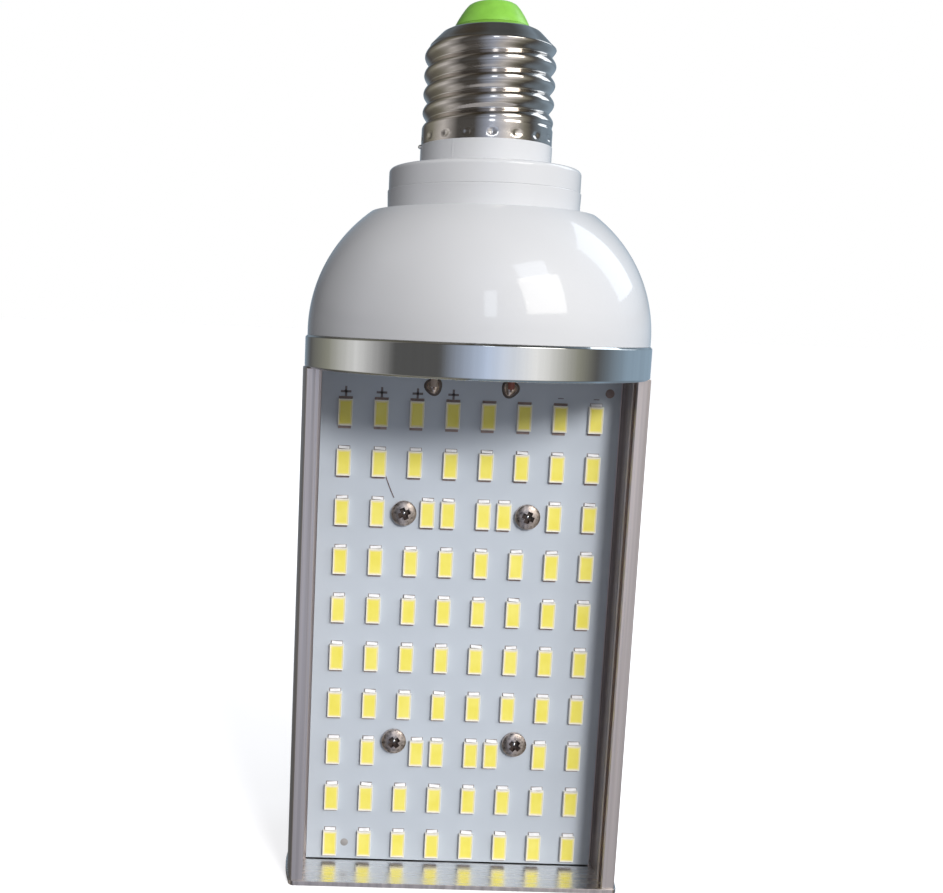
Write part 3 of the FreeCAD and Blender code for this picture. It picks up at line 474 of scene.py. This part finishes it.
def make_board():
    mesh = softened("led_board", 0.06)
    for face in mesh.faces:
        face.material_index = 0 if face.normal.y < -0.9 else 1
    return finish("board", mesh, [MASK, BARE_EDGE], replaces=["led_board"])


# Index 4 of these materials is painted shade: the dark foot under each case, and the solder and pad of
# packages in the ring's shadow.
PACKAGE_MATERIALS = [CASE, PHOSPHOR, SHEEN_SOLDER, PAD, PAINTED_SHADE_AND_SPOT, PHOSPHOR_EDGE]
OF_WINDOW, OF_STRIP, OF_PAD, OF_PAINTED_SHADE, OF_EDGE = range(1, 6)


def add_package(mesh, x, z, low_y, width, length, bright):
    """One package: a rimmed white case, its yellow window, and the solder at its two ends, with painted
    shade on the solder of shaded packages and a painted shadow under each case.
    """
    case = block(
        mesh, (x - width / 2, low_y, z - length / 2), (x + width / 2, BOARD_FACE, z + length / 2)
    )
    front = min(case, key=lambda face: face.calc_center_median().y)
    about = Matrix.Translation((-x, 0, -z))
    bmesh.ops.scale(mesh, vec=(0.97, 1, 0.985), space=about, verts=front.verts)
    bmesh.ops.inset_individual(mesh, faces=[front], thickness=0.17, depth=0)
    bmesh.ops.scale(mesh, vec=(1, 1, 0.965), space=about, verts=front.verts)
    bmesh.ops.inset_individual(mesh, faces=[front], thickness=0.06, depth=-0.06)
    front.material_index = OF_EDGE
    bmesh.ops.inset_individual(mesh, faces=[front], thickness=0.4, depth=0)
    front.material_index = OF_WINDOW
    top, bottom = z + length / 2, z - length / 2
    shift = 0.12 * (random.random() - 0.3)
    half = width * (0.36 if bright else 0.42)
    rise = 0.45 + 0.15 * random.random()
    # The top solder: white with a painted sheen when lit, dark with painted shade in the ring's shadow.
    strip = block(
        mesh,
        (x + shift - half, BOARD_FACE - rise, top + (0.1 if bright else -0.05)),
        (x + shift + half, BOARD_FACE, top + (0.62 if bright else 0.45)),
        OF_STRIP if bright else OF_PAINTED_SHADE,
    )
    tilt = Matrix.Rotation(math.radians(random.uniform(-5, 5)), 3, "Y")
    strip_verts = list({vert for face in strip for vert in face.verts})
    bmesh.ops.rotate(mesh, matrix=tilt, cent=(x, BOARD_FACE, top + 0.3), verts=strip_verts)
    outer = [
        vert
        for vert in strip_verts
        if vert.co.z > top + 0.3 and vert.co.y < BOARD_FACE - 0.1
    ]
    slope = rise * (0.5 + 0.3 * random.random())
    bmesh.ops.translate(mesh, vec=(0.1 * random.random(), slope, -0.1), verts=outer)
    rim = half + 0.17
    low_corner = (x + shift - rim, BOARD_FACE - 0.05, top - 0.05)
    high_corner = (x + shift + rim, BOARD_FACE, top + (0.72 if bright else 0.5))
    block(mesh, low_corner, high_corner, OF_PAD if bright else OF_PAINTED_SHADE)
    # A painted shadow under the case: a thin dark brown foot, longer in the shaded row.
    reach = width / 2 - 0.12
    foot = 0.45 if bright else 0.6
    low_corner = (x - reach, BOARD_FACE - 0.12, bottom - foot)
    high_corner = (x + reach - 0.15, BOARD_FACE, bottom + 0.05)
    block(mesh, low_corner, high_corner, OF_PAINTED_SHADE)


def make_led_rows():
    for node in sorted(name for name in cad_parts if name.startswith("led_row_")):
        low, high = corners(node)
        length = high.z - low.z
        pitch = (high.x - low.x - PACKAGE_WIDTH) / (COLUMNS - 1)
        number = int(node[-2:])
        mesh = bmesh.new()
        for column in range(COLUMNS):
            x = low.x + PACKAGE_WIDTH / 2 + pitch * column
            if number in SCREW_ROWS and column in PAIRED_COLUMNS:
                side = 1 if column > PAIRED_COLUMNS[0] else -1
                x = side * (pitch / 2 + PAIR_OFFSET)
            # All of the first row but its last package lie in the ring's shadow, so their solder is
            # painted dark as shade.
            bright = number > 1 or column == COLUMNS - 1
            add_package(mesh, x, (low.z + high.z) / 2, low.y, PACKAGE_WIDTH, length, bright)
        finish(
            f"{node}_packages",
            mesh,
            PACKAGE_MATERIALS,
            replaces=[node],
        )


# Cap


def make_dome():
    rise = DOME_TOP - RING_HIGH.z - DOME_SKIRT
    inset = DOME_RADIUS - SHOULDER_RADIUS
    arc = (inset**2 + rise**2) / (2 * inset)
    centre = (DOME_RADIUS - arc, RING_HIGH.z + DOME_SKIRT)
    last = math.degrees(math.asin(rise / arc))
    spigot, spigot_depth, spigot_wall = RING_RADIUS - 2.1, 3.6, 1.6
    wall, bore, recess, collar_wall, lip = 1.8, 13.9, 2.4, 1.95, 0.12
    mesh = turned(
        [
            (spigot - spigot_wall, RING_HIGH.z - spigot_depth),
            (spigot, RING_HIGH.z - spigot_depth),
            (spigot, RING_HIGH.z),
            (DOME_RADIUS, RING_HIGH.z),
            (centre, arc, 0, last, 40),
            (LOWER_COLLAR - 0.15, DOME_TOP),
            ((LOWER_COLLAR - lip, SEAM - lip), lip, 0, 90, 3),
            (bore, SEAM),
            (bore, SEAM - recess),
            (LOWER_COLLAR - collar_wall, SEAM - recess),
            (LOWER_COLLAR - collar_wall, DOME_TOP - wall),
            (centre, arc - wall, last - 3, 0, 12),
            (spigot - spigot_wall, RING_HIGH.z + DOME_SKIRT),
        ]
    )
    ease_edges(mesh, 0.2)
    return finish(
        "dome_moulding", mesh, [MOULDING], replaces=["dome_housing"]
    )


def add_mould_line(mesh, turn):
    """A faint rib down the neck where the two halves of its mould met."""
    low, high = (NECK_RADIUS - 0.3, -0.11, COLLAR_TOP - 0.2), (NECK_RADIUS + 0.03, 0.11, SHELL_RIM)
    verts = {vert for face in block(mesh, low, high) for vert in face.verts}
    spun = Matrix.Rotation(math.radians(turn), 3, "Z")
    bmesh.ops.rotate(mesh, matrix=spun, verts=list(verts))


def make_neck():
    journal, shoulder, root, bore, corner = 13.6, 12.6, 11.6, 10.0, 0.9
    shoulder_top = SHELL_RIM + 1.7
    mesh = turned(
        [
            (10.9, NECK_LOW.z),
            (journal, NECK_LOW.z),
            (journal, COLLAR_BOTTOM),
            (UPPER_COLLAR, COLLAR_BOTTOM),
            ((UPPER_COLLAR - corner, COLLAR_TOP - corner), corner, 0, 90, 8),
            (NECK_RADIUS, COLLAR_TOP),
            (NECK_RADIUS, SHELL_RIM),
            (shoulder, SHELL_RIM),
            (shoulder, shoulder_top),
            (root, shoulder_top),
            (root, NECK_HIGH.z),
            (bore, NECK_HIGH.z),
            (bore, COLLAR_TOP),
        ]
    )
    ease_edges(mesh, 0.05)
    for turn in (-127, 53):
        add_mould_line(mesh, turn)
    return finish(
        "neck_moulding",
        mesh,
        [MOULDING],
        body="cap",
        replaces=["swivel_neck"],
    )


def thread_wave(angle, height):
    """0 at the root and 1 at the crest of the knuckle thread, fading in above the skirt."""
    turns = (height - SHELL_RIM - CREST_RISE) / THREAD_PITCH - angle / math.tau
    wave = (0.5 + 0.5 * math.cos(math.tau * turns)) ** 0.6
    skirt = min(1, max(0, (height - SHELL_RIM - SKIRT_HEIGHT) / SKIRT_FADE))
    return wave * skirt + (1 - skirt)


def crown_radius(height):
    """The shell's outline over the crests, drawn in above the thread."""
    knots = [(0, CREST), (18.7, CREST), (19.6, 12.15), (20.8, 11.0), (21.9, 9.9), (23.0, 7.6)]
    rise = height - SHELL_RIM
    for (low, first), (high, last) in zip(knots, knots[1:]):
        if rise <= high:
            return first + (last - first) * (rise - low) / (high - low)
    return knots[-1][1]


def make_screw_shell():
    """Rolled shell: rings of a tube, each vertex set out by the thread's wave."""
    mesh = bmesh.new()
    rings = 150
    top = SHELL_HIGH.z
    ring = bmesh.ops.create_circle(mesh, radius=CREST, segments=ROUND)["verts"]
    bmesh.ops.translate(mesh, vec=(0, 0, SHELL_RIM), verts=ring)
    edges = mesh.edges[:]
    for _ in range(rings):
        grown = bmesh.ops.extrude_edge_only(mesh, edges=edges)["geom"]
        edges = [item for item in grown if isinstance(item, bmesh.types.BMEdge)]
        verts = [item for item in grown if isinstance(item, bmesh.types.BMVert)]
        bmesh.ops.translate(mesh, vec=(0, 0, (top - SHELL_RIM) / rings), verts=verts)
    dents, dent_turn, dent_height, dent_depth, dent_reach = 17, 0.15, 1.2, 0.28, 0.8
    for vert in mesh.verts:
        angle = math.atan2(vert.co.y, vert.co.x)
        height = vert.co.z
        outline = crown_radius(height)
        barrel = CREST - THREAD_DEPTH * (1 - thread_wave(angle, height))
        radius = min(outline, barrel)
        nearest = round((angle + dent_turn) / math.tau * dents) / dents * math.tau - dent_turn
        across = (angle - nearest) * CREST
        reach = math.hypot(across, height - SHELL_RIM - dent_height)
        radius -= dent_depth * max(0, 1 - (reach / dent_reach) ** 2)
        if height < SHELL_RIM + 0.25:
            radius = CREST
        vert.co.x = radius * math.cos(angle)
        vert.co.y = radius * math.sin(angle)
    bmesh.ops.recalc_face_normals(mesh, faces=mesh.faces)
    bmesh.ops.solidify(mesh, geom=mesh.faces[:], thickness=0.35)
    return finish(
        "shell_sheet",
        mesh,
        [NICKEL],
        body="cap",
        replaces=["screw_shell"],
        crease=60,
    )


def make_insulator():
    base = SHELL_HIGH.z
    mesh = turned(
        [
            (1.25, base - 1.0),
            (6.1, base - 1.0),
            (7.1, base - 0.5),
            (7.1, base),
            (7.6, base),
            (6.95, base + 1.3),
            (6.3, base + 2.4),
            (5.55, base + 3.5),
            (4.9, base + 4.25),
            (4.3, PLUG_TOP),
            (1.25, PLUG_TOP),
        ]
    )
    ease_edges(mesh, 0.15)
    return finish(
        "cap_plug", mesh, [GREEN], body="cap", replaces=["cap_insulator"]
    )


def make_contact():
    mesh = turned(
        [
            (0, RIVET_LOW.z),
            (1.2, RIVET_LOW.z),
            (1.2, PLUG_TOP),
            (2.4, PLUG_TOP),
            (2.4, PLUG_TOP + 0.3),
            (1.7, PLUG_TOP + 0.7),
            (0.8, RIVET_HIGH.z),
            (0, RIVET_HIGH.z),
        ],
        closed=False,
        segments=48,
    )
    ease_edges(mesh, 0.08)
    return finish(
        "tip_rivet", mesh, [SOLDER_AND_GLINT], body="cap", replaces=["centre_contact"]
    )


# Small pieces on the board


def facing_out(mesh, x, z, turn=0.0):
    """Turns a mesh made up +Z so that it faces -Y, and moves it to its place on the board."""
    spun = Matrix.Rotation(math.radians(turn), 3, "Z")
    laid = Matrix.Rotation(math.radians(90), 3, "X")
    bmesh.ops.rotate(mesh, matrix=laid @ spun, verts=mesh.verts)
    bmesh.ops.translate(mesh, vec=(x, BOARD_FACE, z), verts=mesh.verts)
    return mesh


def join(meshes):
    """One mesh from several millimetre meshes."""
    whole = bmesh.new()
    for mesh in meshes:
        data = as_data("part", mesh)
        whole.from_mesh(data)
        bpy.data.meshes.remove(data)
    return whole


def cross_cutter(rise):
    """Two crossing bars, narrower at the bottom, over the head of a screw."""
    mesh = bmesh.new()
    for bar in (0, 90):
        verts = bmesh.ops.create_cube(mesh, size=1)["verts"]
        bmesh.ops.scale(mesh, vec=(3.4, 1.25, 1.6), verts=verts)
        lower = [vert for vert in verts if vert.co.z < 0]
        bmesh.ops.scale(mesh, vec=(0.5, 0.75, 1), verts=lower)
        bmesh.ops.rotate(mesh, matrix=Matrix.Rotation(math.radians(bar), 3, "Z"), verts=verts)
    bmesh.ops.translate(mesh, vec=(0, 0, rise - 0.25), verts=mesh.verts)
    return mesh


def carve(mesh, tool):
    """The mesh with the tool cut out of it."""
    blank = linked("blank", as_data("blank", mesh))
    cutter = linked("cutter", as_data("cutter", tool))
    cut = blank.modifiers.new("recess", "BOOLEAN")
    cut.operation = "DIFFERENCE"
    cut.solver = "EXACT"
    cut.use_self = True
    cut.object = cutter
    graph = bpy.context.evaluated_depsgraph_get()
    carved = bmesh.new()
    carved.from_mesh(blank.evaluated_get(graph).to_mesh())
    bpy.data.objects.remove(blank)
    bpy.data.objects.remove(cutter)
    return carved


def make_board_screws():
    """Pan heads with a cross recess, each turned its own way, the recess painted near black as shade and
    a painted glint on a cone at its floor.
    """
    low, high = corners("board_screws")
    radius, shank, crown = 2.65, 1.4, 5.5
    recess_reach, recess_floor = 1.9, 1.05
    rise = BOARD_FACE - low.y
    across = (high.x - low.x) / 2 - radius
    heads = []
    for x, z, turn in (
        (-across, high.z - radius, 24),
        (across, high.z - radius, 68),
        (-across, low.z + radius, 40),
        (across, low.z + radius, 52),
    ):
        blank = turned(
            [
                (0, -crown),
                (shank, -crown),
                (shank, 0),
                (radius - 0.15, 0),
                (radius, 0.2),
                (radius, rise - 0.72),
                ((0, rise - crown), crown, 62, 90, 8),
            ],
            closed=False,
            segments=56,
        )
        head = carve(blank, cross_cutter(rise))
        # Faces inside the recess take painted shade.
        for face in head.faces:
            middle = face.calc_center_median()
            out = math.hypot(middle.x, middle.y)
            dome = rise - crown + math.sqrt(crown**2 - out**2)
            if out < recess_reach and rise - 1.5 < middle.z < dome - 0.04:
                face.material_index = 1
        # A small cone at the recess floor in bright solder metal, lighter than the screw: a painted
        # glint.
        low_z = rise - recess_floor
        tip = turned(
            [(0, low_z - 0.1), (0.5, low_z - 0.1), (0.5, low_z), (0.2, low_z + 0.25), (0, low_z + 0.3)],
            closed=False,
            segments=24,
        )
        for face in tip.faces:
            face.material_index = 2
        heads.append(facing_out(join([head, tip]), x, z, turn=turn))
    return finish(
        "screw_heads",
        join(heads),
        [SCREW, RECESS_SHADE, SOLDER_AND_GLINT],
        replaces=["board_screws"],
    )


def make_solder_joints():
    """Beads with a dark ring at the foot and the lead's bare end on top."""
    low, high = corners("solder_joints")
    radius = (high.z - low.z) / 2
    across = (high.x - low.x) / 2 - radius
    beads = []
    for side in (-1, 1):
        skirt = turned(
            [(0, 0), (radius, 0), (radius - 0.15, 0.12), (radius - 0.6, 0.16), (0, 0.16)],
            closed=False,
            segments=40,
        )
        for face in skirt.faces:
            face.material_index = 1
        dome = turned(
            [(0, 0.05), (radius - 0.4, 0.05), ((0, -1.05), 1.85, 37, 90, 8)],
            closed=False,
            segments=40,
        )
        bead = join([skirt, dome])
        for vert in bead.verts:
            wobble = 1 + 0.07 * math.sin(3 * math.atan2(vert.co.y, vert.co.x) + side)
            vert.co.x *= wobble
            vert.co.y *= wobble
        stub = bmesh.new()
        made = bmesh.ops.create_cone(
            stub, cap_ends=True, segments=20, radius1=0.3, radius2=0.26, depth=1.5
        )["verts"]
        bmesh.ops.rotate(stub, matrix=Matrix.Rotation(math.radians(74), 3, "X"), verts=made)
        bmesh.ops.translate(stub, vec=(0, 0.1, 0.62), verts=made)
        beads.append(facing_out(join([bead, stub]), side * across, (low.z + high.z) / 2))
    return finish(
        "solder_beads",
        join(beads),
        [DARKER_SOLDER, DARK_RING],
        replaces=["solder_joints"],
    )


def make_marks():
    """Printed plus signs over the first columns and short strokes over the last two."""
    low, high = corners("led_row_01")
    pitch = (high.x - low.x - PACKAGE_WIDTH) / (COLUMNS - 1)
    level = 105.2
    mesh = bmesh.new()
    for column in range(4):
        x = low.x + PACKAGE_WIDTH / 2 + pitch * column
        for half_x, half_z in ((1.12, 0.24), (0.24, 1.12)):
            low_corner = (x - half_x, BOARD_FACE - 0.015, level - half_z)
            block(mesh, low_corner, (x + half_x, BOARD_FACE + 0.02, level + half_z))
    for column in (6, 7):
        x = low.x + PACKAGE_WIDTH / 2 + pitch * column
        low_corner = (x - 0.6, BOARD_FACE - 0.015, level - 0.09)
        block(mesh, low_corner, (x + 0.6, BOARD_FACE + 0.02, level + 0.09))
    return finish("polarity_marks", mesh, [INK])


def make_spots():
    """Grey fiducial near the foot and a darker spot near the top."""
    row_low, row_high = corners("led_row_10")
    top_low, top_high = corners("led_row_01")
    grey = turned([(0, 0), (0.85, 0), (0.8, 0.03), (0, 0.03)], closed=False, segments=40)
    facing_out(grey, BOARD_LOW.x + 8.4, (row_low.z + row_high.z) / 2)
    dark = turned([(0, 0), (0.95, 0), (0.9, 0.03), (0, 0.03)], closed=False, segments=40)
    for face in dark.faces:
        face.material_index = 1
    facing_out(dark, BOARD_HIGH.x - 2.4, (top_low.z + top_high.z) / 2 + 5.7)
    return finish("board_spots", join([grey, dark]), [FIDUCIAL, PAINTED_SHADE_AND_SPOT])


def make_hair():
    """A short dark thread that lies on the board near one screw."""
    curve = bpy.data.curves.new("hair", "CURVE")
    curve.dimensions = "3D"
    curve.bevel_depth = 0.09 * MM
    curve.bevel_resolution = 2
    curve.use_fill_caps = True
    spline = curve.splines.new("POLY")
    start, end = Vector((-17.8, 0, 88.8)), Vector((-15.4, 0, 82.9))
    spline.points.add(6)
    for index, point in enumerate(spline.points):
        share = index / 6
        spot = start.lerp(end, share)
        bow = 0.12 * math.sin(math.pi * share)
        point.co = (*(Vector((spot.x - bow, BOARD_FACE - 0.09, spot.z)) * MM), 1)
    curve.materials.append(THREAD)
    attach(linked("hair", curve), "lamp_body")


def make_shell_joint():
    """The neutral wire's bead on the neck, under the shell's rim at the left."""
    mesh = bmesh.new()
    bmesh.ops.create_uvsphere(mesh, u_segments=20, v_segments=12, radius=0.55)
    bmesh.ops.scale(mesh, vec=(0.9, 1.5, 0.8), verts=mesh.verts)
    bmesh.ops.translate(mesh, vec=(-NECK_RADIUS - 0.1, -0.6, SHELL_RIM - 0.35), verts=mesh.verts)
    return finish("rim_joint", mesh, [SOLDER_AND_GLINT], body="cap")


# Stage, lights and camera


def make_stage():
    floor_material = Finish(
        "pale_floor",
        (0.78, 0.78, 0.79),
        0.7,
        **{"Emission Color": (1, 1, 1, 1), "Emission Strength": 0.62},
    )
    grain = floor_material.noise((3, 3, 3), 2.0)
    floor_material.mottle(grain, 0.01)
    mesh = bmesh.new()
    bmesh.ops.create_grid(mesh, x_segments=1, y_segments=1, size=12)
    data = as_data("floor", mesh)
    data.materials.append(floor_material.material)
    floor = linked("floor", data)
    floor.visible_glossy = False
    floor.visible_diffuse = False


LIGHT_TARGET = Vector((0, 0, 0.12))


def area_light(name, place, size, power, color=(1, 1, 1), mirrored=True):
    """A soft rectangular light that faces the lamp; mirrored ones show in glossy surfaces."""
    light = bpy.data.lights.new(name, "AREA")
    light.shape = "RECTANGLE"
    light.size, light.size_y = size
    light.energy = power
    light.color = color
    source = linked(name, light)
    source.location = place
    aim = LIGHT_TARGET - Vector(place)
    source.rotation_euler = aim.to_track_quat("-Z", "Y").to_euler()
    source.visible_glossy = mirrored


def make_lights():
    daylight = bpy.data.lights.new("daylight", "SUN")
    daylight.energy = 2.1
    daylight.angle = math.radians(14)
    daylight.color = (1, 0.98, 0.96)
    sun = linked("daylight", daylight)
    sun.rotation_euler = Vector((-0.29, 0.868, -0.405)).to_track_quat("-Z", "Y").to_euler()
    sun.visible_glossy = False
    area_light("side_soft", (1.1, -0.45, 0.5), (0.6, 0.6), 2.4, (0.95, 0.97, 1), False)
    area_light("back_soft", (0.1, 1.3, 0.95), (0.9, 0.6), 5.0, (0.95, 0.97, 1), False)
    area_light("window_low", (0.479, -0.618, 0.546), (0.42, 0.4), 2.15, (1, 0.97, 0.9))
    area_light("window_high", (0.372, -0.518, 0.762), (0.30, 0.20), 0.5, (0.85, 0.92, 1))
    area_light("window_slit", (0.006, -0.85, 0.48), (0.12, 0.3), 0.3, (0.85, 0.93, 1))
    area_light("window_side", (0.69, 0.27, 0.587), (0.38, 0.5), 1.15, (0.82, 0.91, 1))


# A plain room for polished metal to mirror: its tones, and the azimuth of each band in degrees.
# Azimuth 0 is in front of the board, and 90 is at its right.

WINDOW = (1.0, 1.0, 1.0)
SKY = (0.6, 0.7, 0.9)
CURTAIN = (0.75, 0.75, 0.75)
WARM_WALL = (0.3, 0.3, 0.25)
COOL_WALL = (0.3, 0.4, 0.5)
CORNER = (0.1, 0.1, 0.1)
ROOM = [
    (-180, COOL_WALL),
    (-150, CORNER),
    (-120, WARM_WALL),
    (-90, CURTAIN),
    (-60, CORNER),
    (-30, CORNER),
    (0, SKY),
    (30, WINDOW),
    (60, WARM_WALL),
    (75, CORNER),
    (105, COOL_WALL),
    (165, COOL_WALL),
]

# How much the room dims with height, from straight down at 0 to straight up at 1, and the
# light that falls on the lamp by its azimuth, from -180 degrees at 0 to 180 at 1.

CEILING = (0.05, 0.04, 0.025)
DIMMED = [
    (0.12, 1),
    (0.16, 0.3),
    (0.2, 1),
    (0.3, 1),
    (0.42, 0),
    (0.52, 0),
    (0.555, 0.85),
    (0.59, 0.1),
    (0.64, 0.3),
    (0.72, 1),
    (0.8, 1),
    (0.84, 0.4),
    (0.88, 1),
]
OVERHEAD = [(0.88, 0), (0.95, 0.7)]
FILL = [(0, 0.25), (0.25, 0.28), (0.48, 0.19), (0.6, 0.27), (0.8, 0.33), (1, 0.25)]
FILL_BLUE = 1.07


def make_world():
    """Pale behind the lamp, soft in what it lights, and a banded room in mirrors."""
    world = bpy.data.worlds.new("studio")
    bpy.context.scene.world = world
    world.use_nodes = True
    tree = world.node_tree
    link = tree.links.new
    place = tree.nodes.new("ShaderNodeTexCoord")
    split = tree.nodes.new("ShaderNodeSeparateXYZ")
    link(place.outputs["Generated"], split.inputs[0])
    front = tree.nodes.new("ShaderNodeMath")
    front.operation = "MULTIPLY"
    front.inputs[1].default_value = -1
    link(split.outputs["Y"], front.inputs[0])
    turn = tree.nodes.new("ShaderNodeMath")
    turn.operation = "ARCTAN2"
    link(split.outputs["X"], turn.inputs[0])
    link(front.outputs[0], turn.inputs[1])
    share = tree.nodes.new("ShaderNodeMapRange")
    share.inputs["From Min"].default_value = -math.pi
    share.inputs["From Max"].default_value = math.pi
    link(turn.outputs[0], share.inputs["Value"])

    def mix(factor, first, second):
        node = tree.nodes.new("ShaderNodeMixRGB")
        if isinstance(factor, float):
            node.inputs["Fac"].default_value = factor
        else:
            link(factor, node.inputs["Fac"])
        for socket, color in (("Color1", first), ("Color2", second)):
            if isinstance(color, tuple):
                node.inputs[socket].default_value = (*color, 1)
            else:
                link(color, node.inputs[socket])
        return node.outputs["Color"]

    bands = [((azimuth + 180) / 360, color) for azimuth, color in ROOM]
    room = color_ramp(tree, share.outputs[0], bands)
    height = tree.nodes.new("ShaderNodeMapRange")
    height.inputs["From Min"].default_value = -1
    link(split.outputs["Z"], height.inputs["Value"])
    dimmed = color_ramp(tree, height.outputs[0], DIMMED)
    mirrored = mix(dimmed, room, mix(0.42, room, CEILING))
    overhead = color_ramp(tree, height.outputs[0], OVERHEAD)
    mirrored = mix(overhead, mirrored, CEILING)
    fill = [(turned_by, (grey, grey, grey * FILL_BLUE)) for turned_by, grey in FILL]
    lit = color_ramp(tree, share.outputs[0], fill)
    rays = tree.nodes.new("ShaderNodeLightPath")
    glossy = mix(rays.outputs["Is Glossy Ray"], lit, mirrored)
    shown = mix(rays.outputs["Is Camera Ray"], glossy, (1.0, 1.0, 1.0))
    link(shown, tree.nodes["Background"].inputs["Color"])


def make_camera():
    lens_pixels, sensor = 1097.0, 36.0
    tilt, pan, roll = 0.1347, -0.0153, 0.0333
    stand = (-0.0324, -0.2286, 0.1203)
    camera = bpy.data.cameras.new("photo_camera")
    camera.sensor_fit = "HORIZONTAL"
    camera.sensor_width = sensor
    camera.lens = lens_pixels / IMAGE_WIDTH * sensor
    camera.shift_x, camera.shift_y = 0.148, 0.0216
    camera.clip_start, camera.clip_end = 0.01, 50
    level = Matrix(((1, 0, 0), (0, 0, -1), (0, 1, 0)))
    turn = (
        Matrix.Rotation(roll, 3, "Z")
        @ Matrix.Rotation(pan, 3, "Y")
        @ Matrix.Rotation(tilt, 3, "X")
        @ level
    )
    right, down, ahead = turn
    looks = Matrix((right, -down, -ahead)).transposed().to_4x4()
    holder = linked("photo_camera", camera)
    holder.matrix_world = Matrix.Translation(stand) @ looks
    bpy.context.scene.camera = holder


make_heat_sink()
make_end_plate()
make_cup_ring()
make_board()
make_led_rows()
make_dome()
make_neck()
make_screw_shell()
make_insulator()
make_contact()
make_board_screws()
make_solder_joints()
make_marks()
make_spots()
make_hair()
make_shell_joint()
make_stage()
make_lights()
make_world()
make_camera()
bpy.context.scene.view_settings.view_transform = "Standard"
